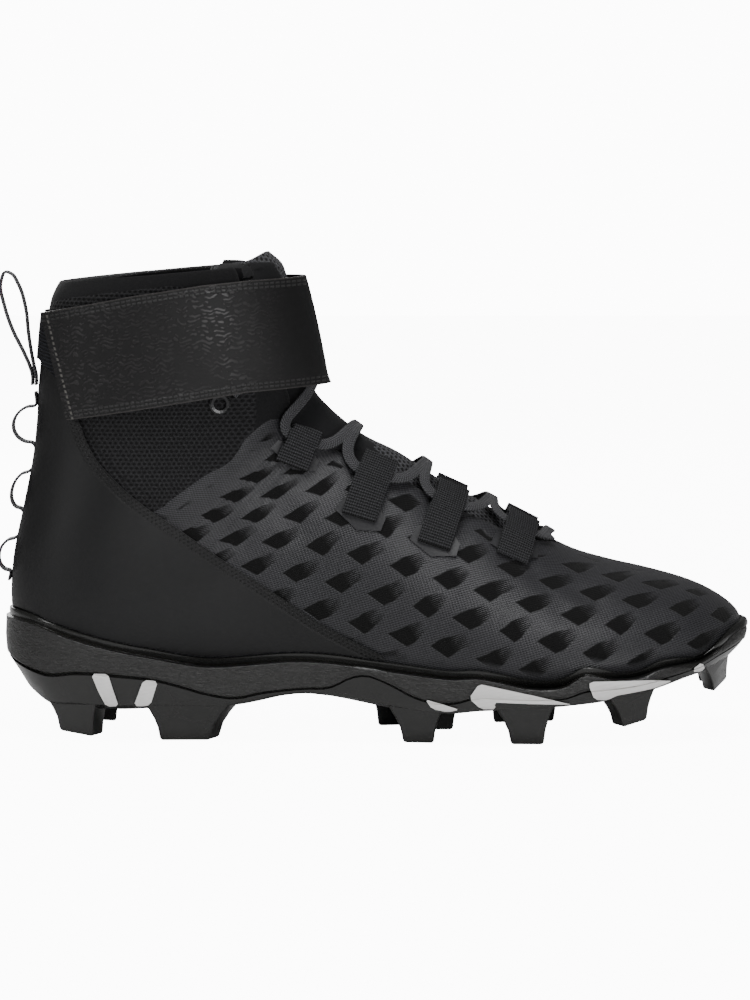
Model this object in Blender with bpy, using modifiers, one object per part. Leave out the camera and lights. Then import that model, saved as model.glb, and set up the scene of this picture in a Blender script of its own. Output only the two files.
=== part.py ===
"""American football cleat, right shoe, high top with an ankle strap.

Units are metres and Z is up. The toe points to +X and the lateral side to -Y.
The origin is on the floor, under the middle of the shoe.
The upper comes from one table of sections that fan round the ankle, and every
piece that lies on it is cut from the same form, grown or shrunk by a distance.
"""
import math

import bmesh
import bpy
import numpy as np
from mathutils import Vector
from mathutils.bvhtree import BVHTree

MM = 0.001

# Driving sizes
LENGTH = 297.6 * MM
BALL_WIDTH = 100.0 * MM
SOLE_HEIGHT = 54.2 * MM
SHAFT_RISE = 162.0 * MM
FOOT_SHARE = 0.3
FOOT_RISE = 2.99 * SOLE_HEIGHT
HEEL_SHIFT = 1.0 * MM
CLEARANCE = 0.3 * MM

# Upper
WALL = 2.0 * MM
COLLAR_WALL = 5.0 * MM
COLLAR_PAD_DEPTH = 16.0 * MM
UPPER_ROWS = 36
UPPER_COLUMNS = 9

# Pieces on the upper
QUARTER_THICKNESS = 1.0 * MM
STRAP_THICKNESS = 1.8 * MM
STRAP_LIFT = 4.0 * MM
ELASTIC_THICKNESS = 1.5 * MM
ELASTIC_TUCK = 6.0 * MM
TONGUE_THICKNESS = 3.2 * MM
TONGUE_OVERLAP = 9.0
TONGUE_GAP = 0.9 * MM
TONGUE_CROWN = 1.6 * MM
INSOLE_THICKNESS = 4.0 * MM
LACE_WIDTH = 4.6 * MM
LACE_THICKNESS = 1.2 * MM
WEBBING = 0.9 * MM
LOOP_WIDTH = 13.5 * MM
EYELET_RADIUS = 4.3 * MM
EYELET_HOLE = 2.4 * MM
EYELET_THICKNESS = 1.0 * MM
PULL_WIDTH = 10.0 * MM
PULL_THICKNESS = 1.1 * MM

# Outsole
LIP_THICKNESS = 2.2 * MM
LIP_BAND = 3.2 * MM
LIP_FLARE = 0.4 * MM
BAND_INSET = 0.9 * MM
SOLE_EDGE = 10.0 * MM
HEEL_ROUNDING = 36.0 * MM
TOE_ROUNDING = 62.0 * MM
STUD_WIDTH = 17.0 * MM
STUD_TAPER = 3.2 * MM
STUD_EDGE = 1.2 * MM
STUD_INSET = 3.0 * MM
STUD_ROOT = 5.0 * MM
STUD_CUT = 4.0 * MM
ACCENT_THICKNESS = 0.8 * MM

HEEL_X = -0.5 * LENGTH + HEEL_SHIFT
LATERAL = -1
MEDIAL = 1

# Side view of the sole. station: share of LENGTH from the heel.
# plate, groove, lip, bed: heights as shares of SOLE_HEIGHT.
# Columns: station, plate, groove, lip, bed
SOLE_SIDE = (
    (0.000, 0.500, 0.612, 0.940, 0.460),
    (0.020, 0.440, 0.548, 0.938, 0.446),
    (0.038, 0.336, 0.512, 0.920, 0.440),
    (0.060, 0.260, 0.482, 0.878, 0.430),
    (0.100, 0.246, 0.500, 0.804, 0.420),
    (0.160, 0.230, 0.480, 0.718, 0.410),
    (0.210, 0.240, 0.445, 0.665, 0.410),
    (0.240, 0.245, 0.400, 0.632, 0.412),
    (0.270, 0.248, 0.350, 0.610, 0.418),
    (0.315, 0.262, 0.316, 0.617, 0.426),
    (0.345, 0.292, 0.350, 0.632, 0.432),
    (0.371, 0.328, 0.370, 0.646, 0.434),
    (0.403, 0.350, 0.388, 0.652, 0.434),
    (0.440, 0.330, 0.406, 0.642, 0.428),
    (0.466, 0.306, 0.480, 0.626, 0.420),
    (0.485, 0.286, 0.498, 0.610, 0.412),
    (0.510, 0.262, 0.452, 0.595, 0.396),
    (0.555, 0.240, 0.330, 0.565, 0.370),
    (0.598, 0.220, 0.300, 0.540, 0.345),
    (0.635, 0.240, 0.350, 0.548, 0.342),
    (0.655, 0.246, 0.348, 0.530, 0.342),
    (0.706, 0.262, 0.338, 0.472, 0.345),
    (0.722, 0.268, 0.338, 0.466, 0.350),
    (0.748, 0.278, 0.344, 0.492, 0.360),
    (0.773, 0.290, 0.390, 0.576, 0.372),
    (0.789, 0.300, 0.404, 0.568, 0.382),
    (0.816, 0.324, 0.416, 0.530, 0.402),
    (0.845, 0.352, 0.436, 0.532, 0.434),
    (0.876, 0.400, 0.470, 0.606, 0.480),
    (0.907, 0.452, 0.510, 0.617, 0.530),
    (0.934, 0.488, 0.556, 0.622, 0.572),
    (0.953, 0.524, 0.604, 0.710, 0.618),
    (0.970, 0.560, 0.642, 0.794, 0.674),
    (0.986, 0.598, 0.676, 0.838, 0.724),
    (1.000, 0.636, 0.700, 0.848, 0.762),
)

# Plan view of the sole. lateral and medial: half widths, and axis: the shift of
# the middle line towards the medial side, as shares of BALL_WIDTH.
# Columns: station, lateral, medial, axis
SOLE_PLAN = (
    (0.00, 0.345, 0.345, 0.000),
    (0.09, 0.368, 0.366, 0.000),
    (0.17, 0.372, 0.366, 0.000),
    (0.25, 0.362, 0.350, 0.000),
    (0.35, 0.362, 0.325, 0.000),
    (0.45, 0.400, 0.325, 0.000),
    (0.55, 0.455, 0.370, 0.000),
    (0.65, 0.495, 0.440, 0.000),
    (0.74, 0.505, 0.485, 0.004),
    (0.82, 0.490, 0.500, 0.012),
    (0.90, 0.475, 0.495, 0.026),
    (1.00, 0.430, 0.450, 0.050),
)

# Sections of the upper, from the toe back, round the heel and up the ankle.
# top and back are the two ends of a section in side view: stations as shares of
# LENGTH, and heights over the heel seat as shares of SHAFT_RISE.
# lateral, medial: half widths as shares of BALL_WIDTH. widest: where along the
# section it is widest, from its lower end. square_low, square_top: how full
# the section is below and above. under, throat: how far the wall is open at
# the lower and the upper end, as shares of the half width.
# Columns: top_x, top_z, end_x, end_z, lateral, medial, widest, square_low,
# square_top, under, throat
SECTIONS = (
    (0.992, 0.137, 0.992, 0.107, 0.000, 0.000, 0.45, 2.2, 2.0, 0.00, 0.00),
    (0.984, 0.166, 0.986, 0.093, 0.120, 0.130, 0.42, 2.3, 2.0, 0.00, 0.00),
    (0.967, 0.194, 0.971, 0.078, 0.210, 0.235, 0.38, 2.5, 2.0, 0.45, 0.00),
    (0.940, 0.223, 0.945, 0.060, 0.300, 0.325, 0.34, 2.7, 2.0, 0.64, 0.00),
    (0.907, 0.247, 0.910, 0.040, 0.365, 0.385, 0.32, 2.9, 1.95, 0.70, 0.00),
    (0.860, 0.271, 0.860, 0.013, 0.420, 0.440, 0.30, 3.0, 1.90, 0.70, 0.00),
    (0.809, 0.293, 0.806, -0.006, 0.458, 0.465, 0.29, 3.0, 1.85, 0.70, 0.00),
    (0.757, 0.323, 0.748, -0.018, 0.478, 0.462, 0.28, 3.0, 1.80, 0.70, 0.00),
    (0.702, 0.380, 0.688, -0.024, 0.480, 0.438, 0.27, 3.0, 1.75, 0.70, 0.38),
    (0.644, 0.441, 0.631, -0.024, 0.468, 0.408, 0.27, 3.0, 1.75, 0.70, 0.42),
    (0.587, 0.497, 0.571, -0.018, 0.442, 0.378, 0.27, 3.0, 1.75, 0.70, 0.44),
    (0.534, 0.562, 0.507, -0.008, 0.412, 0.350, 0.28, 3.0, 1.80, 0.70, 0.47),
    (0.494, 0.598, 0.436, 0.004, 0.378, 0.332, 0.29, 3.0, 1.85, 0.70, 0.50),
    (0.476, 0.618, 0.355, 0.008, 0.352, 0.328, 0.30, 2.9, 1.90, 0.70, 0.50),
    (0.462, 0.638, 0.268, 0.003, 0.344, 0.340, 0.30, 2.8, 1.90, 0.70, 0.50),
    (0.451, 0.655, 0.178, 0.000, 0.346, 0.346, 0.30, 2.6, 1.90, 0.70, 0.50),
    (0.443, 0.668, 0.095, 0.004, 0.346, 0.346, 0.30, 2.4, 1.90, 0.55, 0.50),
    (0.437, 0.679, 0.032, 0.060, 0.344, 0.344, 0.31, 2.2, 1.90, 0.00, 0.50),
    (0.432, 0.688, 0.014, 0.165, 0.340, 0.340, 0.33, 2.1, 1.90, 0.00, 0.51),
    (0.427, 0.698, 0.015, 0.290, 0.336, 0.336, 0.36, 2.1, 1.95, 0.00, 0.52),
    (0.423, 0.708, 0.029, 0.420, 0.332, 0.332, 0.40, 2.1, 2.00, 0.00, 0.54),
    (0.419, 0.722, 0.042, 0.540, 0.332, 0.332, 0.44, 2.1, 2.05, 0.00, 0.57),
    (0.415, 0.745, 0.048, 0.640, 0.336, 0.336, 0.47, 2.1, 2.10, 0.00, 0.61),
    (0.411, 0.785, 0.050, 0.715, 0.342, 0.342, 0.49, 2.1, 2.15, 0.00, 0.66),
    (0.404, 0.850, 0.054, 0.790, 0.348, 0.348, 0.50, 2.1, 2.15, 0.00, 0.72),
    (0.394, 0.930, 0.058, 0.870, 0.352, 0.352, 0.50, 2.1, 2.15, 0.00, 0.78),
    (0.385, 0.990, 0.064, 0.935, 0.354, 0.354, 0.50, 2.1, 2.15, 0.00, 0.83),
    (0.377, 1.028, 0.076, 0.978, 0.350, 0.350, 0.50, 2.1, 2.15, 0.00, 0.85),
    (0.359, 1.058, 0.076, 0.950, 0.345, 0.345, 0.50, 2.1, 2.15, 0.00, 0.85),
)
COLLAR_ROW = len(SECTIONS) - 2
TONGUE_TOP_ROW = len(SECTIONS) - 1
TONGUE_TOE_ROW = 6.4
THROAT_END_ROW = 7.0

# Studs. rear, front: the root, tip_rear, tip_front: the tip, as shares of LENGTH
# from the heel. rear_z, front_z: height of the tip over the floor, as shares of
# SOLE_HEIGHT. side: -1 lateral, 1 medial, 0 middle. cut: which outer corner is
# cut back, -1 the rear one, 1 the front one.
# Columns: side, rear, front, tip_rear, tip_front, rear_z, front_z, cut
STUDS = (
    (-1, 0.046, 0.142, 0.078, 0.135, 0.062, 0.028, 1),
    (1, 0.046, 0.158, 0.078, 0.146, 0.062, 0.028, 1),
    (-1, 0.186, 0.340, 0.212, 0.290, 0.000, 0.000, 1),
    (1, 0.186, 0.340, 0.212, 0.290, 0.000, 0.000, 1),
    (-1, 0.502, 0.592, 0.535, 0.575, 0.000, 0.000, 0),
    (1, 0.484, 0.558, 0.502, 0.543, 0.000, 0.000, 0),
    (0, 0.535, 0.618, 0.553, 0.602, 0.020, 0.020, 0),
    (-1, 0.646, 0.740, 0.677, 0.720, 0.000, 0.000, 0),
    (1, 0.646, 0.765, 0.660, 0.742, 0.000, 0.000, 0),
    (-1, 0.784, 0.876, 0.812, 0.857, 0.118, 0.165, -1),
    (1, 0.784, 0.876, 0.812, 0.857, 0.118, 0.165, -1),
    (-1, 0.918, 0.975, 0.937, 0.970, 0.330, 0.395, -1),
    (1, 0.918, 0.975, 0.937, 0.970, 0.330, 0.395, -1),
)

for old in list(bpy.data.objects):
    bpy.data.objects.remove(old, do_unlink=True)

parts = bpy.data.collections.new("football_cleat")
cutters = bpy.data.collections.new("cutters")
for collection in (parts, cutters):
    bpy.context.scene.collection.children.link(collection)


def smooth(stations, values, where):
    """Cubic through a table's column, with slopes taken from the neighbours."""
    stations = np.asarray(stations, dtype=float)
    values = np.asarray(values, dtype=float)
    slopes = np.gradient(values, stations)
    where = min(max(where, stations[0]), stations[-1])
    row = int(np.clip(np.searchsorted(stations, where) - 1, 0, len(stations) - 2))
    span = stations[row + 1] - stations[row]
    f = (where - stations[row]) / span
    start = (1 + 2 * f) * (1 - f) ** 2 * values[row] + f * (1 - f) ** 2 * span * slopes[row]
    end = f * f * (3 - 2 * f) * values[row + 1] + f * f * (f - 1) * span * slopes[row + 1]
    return start + end


SIDE_COLUMNS = dict(zip(("station", "plate", "groove", "lip", "bed"), zip(*SOLE_SIDE)))
PLAN_COLUMNS = dict(zip(("station", "lateral", "medial", "axis"), zip(*SOLE_PLAN)))
SECTION_NAMES = ("top_x", "top_z", "end_x", "end_z", "lateral", "medial", "widest",
                 "square_low", "square_top", "under", "throat")
SECTION_COLUMNS = dict(zip(SECTION_NAMES, zip(*SECTIONS)))


def station_x(station):
    return HEEL_X + station * LENGTH


def share_of(x):
    return (x - HEEL_X) / LENGTH


def sole_z(column, x):
    return SOLE_HEIGHT * smooth(SIDE_COLUMNS["station"], SIDE_COLUMNS[column], share_of(x))


def axis_y(x):
    return BALL_WIDTH * smooth(PLAN_COLUMNS["station"], PLAN_COLUMNS["axis"], share_of(x))


HEEL_SEAT = sole_z("bed", station_x(0.15))


def level(share):
    """Height over the floor. The foot part rises with the sole, the rest with the shaft."""
    foot = min(share, FOOT_SHARE)
    return HEEL_SEAT + FOOT_RISE * foot + SHAFT_RISE * (share - foot)


def half_width(x, side):
    """Half width of the sole's outline, rounded off at the heel and the toe."""
    column = "lateral" if side == LATERAL else "medial"
    width = BALL_WIDTH * smooth(PLAN_COLUMNS["station"], PLAN_COLUMNS[column], share_of(x))
    from_heel = min(max((x - HEEL_X) / HEEL_ROUNDING, 0), 1)
    from_toe = min(max((HEEL_X + LENGTH - x) / TOE_ROUNDING, 0), 1)
    heel = (1 - (1 - from_heel) ** 2.2) ** (1 / 2.2)
    toe = (1 - (1 - from_toe) ** 2.1) ** (1 / 2.1)
    return width * heel * toe


def section(row):
    """Values of the upper's section at a row, between two rows of the table too."""
    rows = range(len(SECTIONS))
    value = {name: smooth(rows, SECTION_COLUMNS[name], row) for name in SECTION_NAMES}
    for name in ("under", "throat"):
        value[name] = float(np.interp(row, rows, SECTION_COLUMNS[name]))
    return value


def skin(row, angle, side):
    """Point of the upper's outer surface. angle runs from -90 to 90 degrees."""
    s = section(row)
    rise, reach = math.sin(angle), max(math.cos(angle), 0.0)
    if rise < 0:
        along = s["widest"] * (1 - abs(rise) ** (2 / s["square_low"]))
        power = 2 / s["square_low"]
    else:
        along = s["widest"] + (1 - s["widest"]) * rise ** (2 / s["square_top"])
        power = 2 / s["square_top"]
    width = BALL_WIDTH * (s["lateral"] if side == LATERAL else s["medial"])
    reach = 0.0 if reach < 1e-6 else reach ** power
    x = station_x(s["end_x"] + (s["top_x"] - s["end_x"]) * along)
    z = level(s["end_z"] + (s["top_z"] - s["end_z"]) * along)
    return Vector((x, axis_y(x) + side * width * reach, z))


def skin_normal(row, angle, side):
    step_row, step_angle = 0.05, 0.03
    low = max(angle - step_angle, -math.pi / 2)
    high = min(angle + step_angle, math.pi / 2 - 0.01)
    before = max(row - step_row, 0.05)
    after = min(row + step_row, TONGUE_TOP_ROW)
    along = skin(after, angle, side) - skin(before, angle, side)
    across = skin(row, high, side) - skin(row, low, side)
    normal = (along.cross(across) * side).normalized()
    if angle > math.pi / 2 - 0.02:
        normal.y = 0
    return normal.normalized()


def open_angle(row, end):
    """Angle at which the wall stops, at its lower or its upper end."""
    s = section(row)
    if end == "under":
        return -math.acos(min(s["under"], 1) ** (s["square_low"] / 2)) if s["under"] > 0.05 else -math.pi / 2
    return math.acos(min(s["throat"], 1) ** (s["square_top"] / 2)) if s["throat"] > 0.05 else math.pi / 2


def add_material(obj, colour, roughness, metallic=0.0):
    material = bpy.data.materials.new(obj.name + "_material")
    material.use_nodes = True
    shader = material.node_tree.nodes["Principled BSDF"]
    shader.inputs["Base Color"].default_value = (*colour, 1)
    shader.inputs["Roughness"].default_value = roughness
    shader.inputs["Metallic"].default_value = metallic
    obj.data.materials.clear()
    obj.data.materials.append(material)


def link_mesh(name, work, collection):
    """Object from a bmesh, with its doubles merged."""
    bmesh.ops.remove_doubles(work, verts=work.verts, dist=0.00001)
    mesh = bpy.data.meshes.new(name)
    work.to_mesh(mesh)
    work.free()
    obj = bpy.data.objects.new(name, mesh)
    collection.objects.link(obj)
    if collection is cutters:
        obj.hide_render = True
        obj.display_type = "WIRE"
    return obj


def wall_angles(row):
    return list(np.linspace(open_angle(row, "under"), open_angle(row, "throat"), UPPER_COLUMNS + 1))


def whole_angles(row):
    """The wall's own angles, with more steps to the middle below and above it."""
    wall = wall_angles(row)
    below = list(np.linspace(-math.pi / 2, wall[0], 3))[:-1]
    above = list(np.linspace(wall[-1], math.pi / 2, 6))[1:]
    return below + wall + above


def fan(name, collection, rows, angles, lift=None):
    """Both sides of the upper's surface, at the given angles on each row."""
    work = bmesh.new()
    for side in (LATERAL, MEDIAL):
        grid = []
        for row in rows:
            line = []
            turns = angles(row)
            for column, angle in enumerate(turns):
                point = skin(row, angle, side)
                if lift:
                    distance = lift(row, column / (len(turns) - 1))
                    point = point + skin_normal(row, angle, side) * distance
                line.append(work.verts.new(point))
            grid.append(line)
        for near, far in zip(grid, grid[1:]):
            for j in range(len(near) - 1):
                corners = (near[j], far[j], far[j + 1], near[j + 1])
                if turns[j] > 0:
                    corners = corners[1:] + corners[:1]
                for ring in (corners[:3], (corners[0],) + corners[2:]):
                    work.faces.new(ring if side == MEDIAL else ring[::-1])
    return link_mesh(name, work, collection)


def grown_form(name, distance):
    """The whole form inside the upper's surface, closed, grown by a distance."""
    rows = np.linspace(0, COLLAR_ROW, UPPER_ROWS)
    obj = fan(name, cutters, rows, whole_angles)
    work = bmesh.new()
    work.from_mesh(obj.data)
    bmesh.ops.dissolve_degenerate(work, dist=0.00001, edges=work.edges)
    work.normal_update()
    normals = [(v, v.normal.copy()) for v in work.verts]
    for vertex, normal in normals:
        vertex.co += normal * distance
    rim = [e for e in work.edges if e.is_boundary]
    top = bmesh.ops.extrude_edge_only(work, edges=rim)
    raised = [v for v in top["geom"] if isinstance(v, bmesh.types.BMVert)]
    bmesh.ops.translate(work, verts=raised, vec=(0, 0, SHAFT_RISE * 0.15))
    bmesh.ops.holes_fill(work, edges=[e for e in work.edges if e.is_boundary])
    bmesh.ops.recalc_face_normals(work, faces=work.faces)
    work.to_mesh(obj.data)
    work.free()
    return obj


def prism(name, outline, low_y, high_y, collection=cutters):
    """Solid with a side-view outline of (x, z) points, from low_y to high_y."""
    curve = bpy.data.curves.new(name, "CURVE")
    curve.dimensions = "2D"
    curve.fill_mode = "BOTH"
    curve.extrude = (high_y - low_y) / 2
    loops = outline if isinstance(outline[0][0], (tuple, list)) else [outline]
    for loop in loops:
        spline = curve.splines.new("POLY")
        spline.points.add(len(loop) - 1)
        for point, (x, z) in zip(spline.points, loop):
            point.co = (x, z, 0, 1)
        spline.use_cyclic_u = True
    shape = bpy.data.objects.new(name + "_outline", curve)
    cutters.objects.link(shape)
    shape.location = (0, (low_y + high_y) / 2, 0)
    shape.rotation_euler = (math.pi / 2, 0, 0)
    bpy.context.view_layer.update()
    mesh = bpy.data.meshes.new_from_object(shape.evaluated_get(bpy.context.evaluated_depsgraph_get()))
    mesh.transform(shape.matrix_world)
    bpy.data.objects.remove(shape, do_unlink=True)
    work = bmesh.new()
    work.from_mesh(mesh)
    bmesh.ops.remove_doubles(work, verts=work.verts, dist=0.00001)
    bmesh.ops.recalc_face_normals(work, faces=work.faces)
    return link_mesh(name, work, collection)


def apply_boolean(obj, other, operation, simplify=True, crosses_itself=False):
    modifier = obj.modifiers.new(operation.lower(), "BOOLEAN")
    modifier.operation = operation
    modifier.object = other
    modifier.solver = "EXACT"
    modifier.use_self = crosses_itself
    bpy.context.view_layer.update()
    mesh = bpy.data.meshes.new_from_object(obj.evaluated_get(bpy.context.evaluated_depsgraph_get()))
    obj.modifiers.clear()
    obj.data = mesh
    work = bmesh.new()
    work.from_mesh(mesh)
    bmesh.ops.remove_doubles(work, verts=work.verts, dist=0.000005)
    bmesh.ops.dissolve_degenerate(work, dist=0.000005, edges=work.edges)
    if simplify:
        bmesh.ops.dissolve_limit(work, angle_limit=math.radians(0.2), verts=work.verts, edges=work.edges)
        bmesh.ops.triangulate(work, faces=work.faces)
    work.to_mesh(mesh)
    work.free()


def side_point(x, z):
    """A side-view point from shares: of LENGTH from the heel, of SHAFT_RISE over the seat."""
    return (station_x(x), level(z))


def wall_at(row):
    """Wall thickness of the upper: thin below, padded at the collar."""
    height = skin(row, 0, LATERAL).z
    top = skin(COLLAR_ROW, 0, LATERAL).z
    blend = min(max(1 - (top - height) / COLLAR_PAD_DEPTH, 0), 1)
    return WALL + (COLLAR_WALL - WALL) * blend * blend * (3 - 2 * blend)


def build_upper():
    """One hollow shell, open at the collar, the throat and underneath."""
    rows = np.linspace(0, COLLAR_ROW, UPPER_ROWS)
    upper = fan("upper", parts, rows, wall_angles)
    pad = upper.vertex_groups.new(name="pad")
    top = skin(COLLAR_ROW, 0, LATERAL).z
    for vertex in upper.data.vertices:
        depth = (top - vertex.co.z) / COLLAR_PAD_DEPTH
        blend = min(max(1 - depth, 0), 1) * (1 if vertex.co.x < station_x(0.36) else 0)
        weight = (WALL + (COLLAR_WALL - WALL) * blend * blend * (3 - 2 * blend)) / COLLAR_WALL
        pad.add([vertex.index], weight, "REPLACE")
    shell = upper.modifiers.new("wall", "SOLIDIFY")
    shell.thickness = COLLAR_WALL
    shell.offset = -1
    shell.vertex_group = "pad"
    add_material(upper, (0.045, 0.045, 0.048), 0.7)
    return upper


# Rings of the sole, from the middle of its underside up its side and over the
# lip. inset: how far inside the outline, along the side and at both ends, as
# shares of SOLE_EDGE.
# low, high, share: between which two height curves the ring lies, and how far.
# Columns: inset, heel_inset, toe_inset, low, high, share
SOLE_RINGS = (
    (0.70, 0.95, 0.90, "plate", "groove", 0.0),
    (0.22, 0.65, 0.60, "plate", "groove", 0.15),
    (0.06, 0.35, 0.32, "plate", "groove", 0.60),
    (0.03, 0.14, 0.16, "plate", "groove", 0.96),
    (0.12, 0.20, 0.22, "plate", "groove", 1.0),
    (0.02, 0.04, 0.06, "groove", "lip", 0.06),
    (0.00, 0.00, 0.00, "groove", "lip", 0.35),
)
SOLE_STEPS = 46


def ring_line(inset, heel_inset, toe_inset, height, grow=0.0):
    """One ring of the sole, as points on its two sides, from heel to toe."""
    start = HEEL_X + heel_inset - grow
    end = HEEL_X + LENGTH - toe_inset + grow
    sides = []
    for side in (LATERAL, MEDIAL):
        line = []
        for step in range(SOLE_STEPS + 1):
            turn = (1 - math.cos(math.pi * step / SOLE_STEPS)) / 2
            share = 0.55 * turn + 0.45 * step / SOLE_STEPS
            x = start + (end - start) * share
            width = half_width(HEEL_X + LENGTH * share, side)
            reach = max(width - inset + grow, 0) if 0 < step < SOLE_STEPS else 0
            line.append((x, axis_y(x) + side * reach, height(x)))
        sides.append(line)
    return sides


def sole_form(name, collection, grow=0.0):
    """The sole without studs, as a closed loft through its rings."""
    rings = []
    for inset, heel_inset, toe_inset, low, high, share in SOLE_RINGS:
        def height(x, low=low, high=high, share=share):
            return sole_z(low, x) * (1 - share) + sole_z(high, x) * share
        insets = [SOLE_EDGE * value for value in (inset, heel_inset, toe_inset)]
        rings.append(ring_line(*insets, height, grow))
    rings.append(ring_line(BAND_INSET, BAND_INSET, BAND_INSET, lambda x: band_z(x) - CLEARANCE, grow))
    rings += lip_rings(grow)
    work = bmesh.new()
    lines = [[[work.verts.new(p) for p in line] for line in ring] for ring in rings]
    for side in (0, 1):
        for low, high in zip(lines, lines[1:]):
            for j in range(SOLE_STEPS):
                work.faces.new((low[side][j], low[side][j + 1], high[side][j + 1], high[side][j]))
    for ring in (lines[0], lines[-1]):
        for j in range(SOLE_STEPS):
            work.faces.new((ring[0][j], ring[0][j + 1], ring[1][j + 1], ring[1][j]))
    bmesh.ops.remove_doubles(work, verts=work.verts, dist=0.00001)
    bmesh.ops.dissolve_degenerate(work, dist=0.00001, edges=work.edges)
    bmesh.ops.recalc_face_normals(work, faces=work.faces)
    return link_mesh(name, work, collection)


def band_z(x):
    """Lower edge of the smooth band along the sole's lip."""
    lip, groove = sole_z("lip", x), sole_z("groove", x)
    return lip - min(LIP_BAND, 0.4 * (lip - groove))


def lip_rings(grow):
    """The lip hugs the upper: three rings at the form's own width there."""
    rings = []
    for outward, share_down in ((LIP_THICKNESS + LIP_FLARE, 1.0), (LIP_THICKNESS + LIP_FLARE / 2, 0.25),
                                (LIP_THICKNESS - 2 * LIP_FLARE, 0.0)):
        sides = []
        for side in (LATERAL, MEDIAL):
            line = []
            for step in range(SOLE_STEPS + 1):
                turn = (1 - math.cos(math.pi * step / SOLE_STEPS)) / 2
                share = 0.55 * turn + 0.45 * step / SOLE_STEPS
                x = HEEL_X + LENGTH * share
                line.append(lip_point(x, share, side, outward + grow, share_down))
            sides.append(line)
        rings.append(sides)
    return rings


def lip_point(x, share, side, outward, share_down):
    """Point beside the upper at the height of the lip, found on the form."""
    aim = Vector((x, axis_y(x) + side * half_width(x, side), 0))
    middle = Vector((station_x(0.5) + (x - station_x(0.5)) * 0.72, axis_y(x) * 0.9, 0))
    away = (aim - middle).normalized()
    place = aim
    for attempt in range(3):
        middle.z = sole_z("lip", place.x) - share_down * (sole_z("lip", place.x) - band_z(place.x))
        hit, normal, face, length = FORM_TREE.ray_cast(middle + away * BALL_WIDTH * 3, -away)
        flat = Vector((normal.x, normal.y, 0)).normalized()
        if share < 0.0001 or share > 0.9999:
            flat = Vector((math.copysign(1, share - 0.5), 0, 0))
        place = hit + flat * outward
    return (place.x, place.y, middle.z)


FORM = grown_form("form", 0)
work = bmesh.new()
work.from_mesh(FORM.data)
FORM_TREE = BVHTree.FromBMesh(work)
work.free()


def build_studs():
    """Tapered studs, each a block from its root inside the plate to its tip."""
    work = bmesh.new()
    for side, rear, front, tip_rear, tip_front, rear_z, front_z, cut in STUDS:
        cube = bmesh.ops.create_cube(work, size=1.0)
        for vertex in cube["verts"]:
            at_front, at_outer, at_tip = vertex.co.x > 0, vertex.co.y > 0, vertex.co.z < 0
            if at_tip:
                x = station_x(tip_front if at_front else tip_rear)
                z = SOLE_HEIGHT * (front_z if at_front else rear_z)
                taper = STUD_TAPER
            else:
                x = station_x(front if at_front else rear)
                z = sole_z("plate", x) + STUD_ROOT
                taper = 0
            narrow = min(half_width(x - 2 * STUD_INSET, side), half_width(x + 2 * STUD_INSET, side))
            reach = narrow - STUD_INSET if side else STUD_WIDTH / 2
            from_edge = taper if at_outer else min(STUD_WIDTH - taper, 2 * reach if side == 0 else reach - STUD_EDGE)
            y = axis_y(x) * abs(side) + (side or 1) * (reach - from_edge)
            if at_outer and cut == (1 if at_front else -1):
                x -= cut * STUD_CUT
            vertex.co = (x, y, z)
    bmesh.ops.recalc_face_normals(work, faces=work.faces)
    studs = link_mesh("studs", work, cutters)
    return studs


def build_outsole():
    outsole = sole_form("outsole", parts)
    apply_boolean(outsole, grown_form("sole_bed", CLEARANCE), "DIFFERENCE")
    studs = build_studs()
    bevel = studs.modifiers.new("edges", "BEVEL")
    bevel.width = STUD_EDGE
    bevel.segments = 1
    apply_boolean(outsole, studs, "UNION")
    add_material(outsole, (0.04, 0.04, 0.038), 0.35)
    return outsole


def build_insole():
    """A sheet on the upper's turned-in edge, cut from the form's own inside."""
    stations = np.linspace(0.02, 0.975, 24)
    top = [(station_x(s), sole_z("bed", station_x(s)) + WALL + CLEARANCE + INSOLE_THICKNESS) for s in stations]
    low = [(top[-1][0], 0.0), (top[0][0], 0.0)]
    insole = prism("insole", top + low, -BALL_WIDTH, BALL_WIDTH, parts)
    apply_boolean(insole, grown_form("inside", -WALL - CLEARANCE), "INTERSECT", crosses_itself=True)
    add_material(insole, (0.02, 0.02, 0.02), 0.9)
    return insole


def build_tongue():
    """Padded plate under the laces: its edges lie inside the wall, its crown fills the throat."""
    wall_rows = np.linspace(0, COLLAR_ROW, UPPER_ROWS)
    rows = [TONGUE_TOE_ROW] + [row for row in wall_rows if row > TONGUE_TOE_ROW + 0.3] + [TONGUE_TOP_ROW]
    overlap = math.radians(TONGUE_OVERLAP)

    def lift(row, column):
        near_end = max(THROAT_END_ROW + 2 - row, 0) * TONGUE_GAP
        under_wall = -wall_at(min(row, COLLAR_ROW)) - TONGUE_GAP - near_end
        past_end = min(max((row - THROAT_END_ROW - 0.9) / 1.2, 0), 1)
        crown = min(max((column - 0.42) / 0.35, 0), 1)
        crown = crown * crown * (3 - 2 * crown) * past_end
        return under_wall + (-TONGUE_CROWN - under_wall) * crown

    def angles(row):
        low = min(open_angle(min(row, COLLAR_ROW), "throat"), math.radians(75)) - overlap
        return np.linspace(low, math.pi / 2, 7)

    tongue = fan("tongue", parts, rows, angles, lift)
    shell = tongue.modifiers.new("padding", "SOLIDIFY")
    shell.thickness = TONGUE_THICKNESS
    shell.offset = -1
    add_material(tongue, (0.03, 0.03, 0.032), 0.8)
    return tongue


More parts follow.
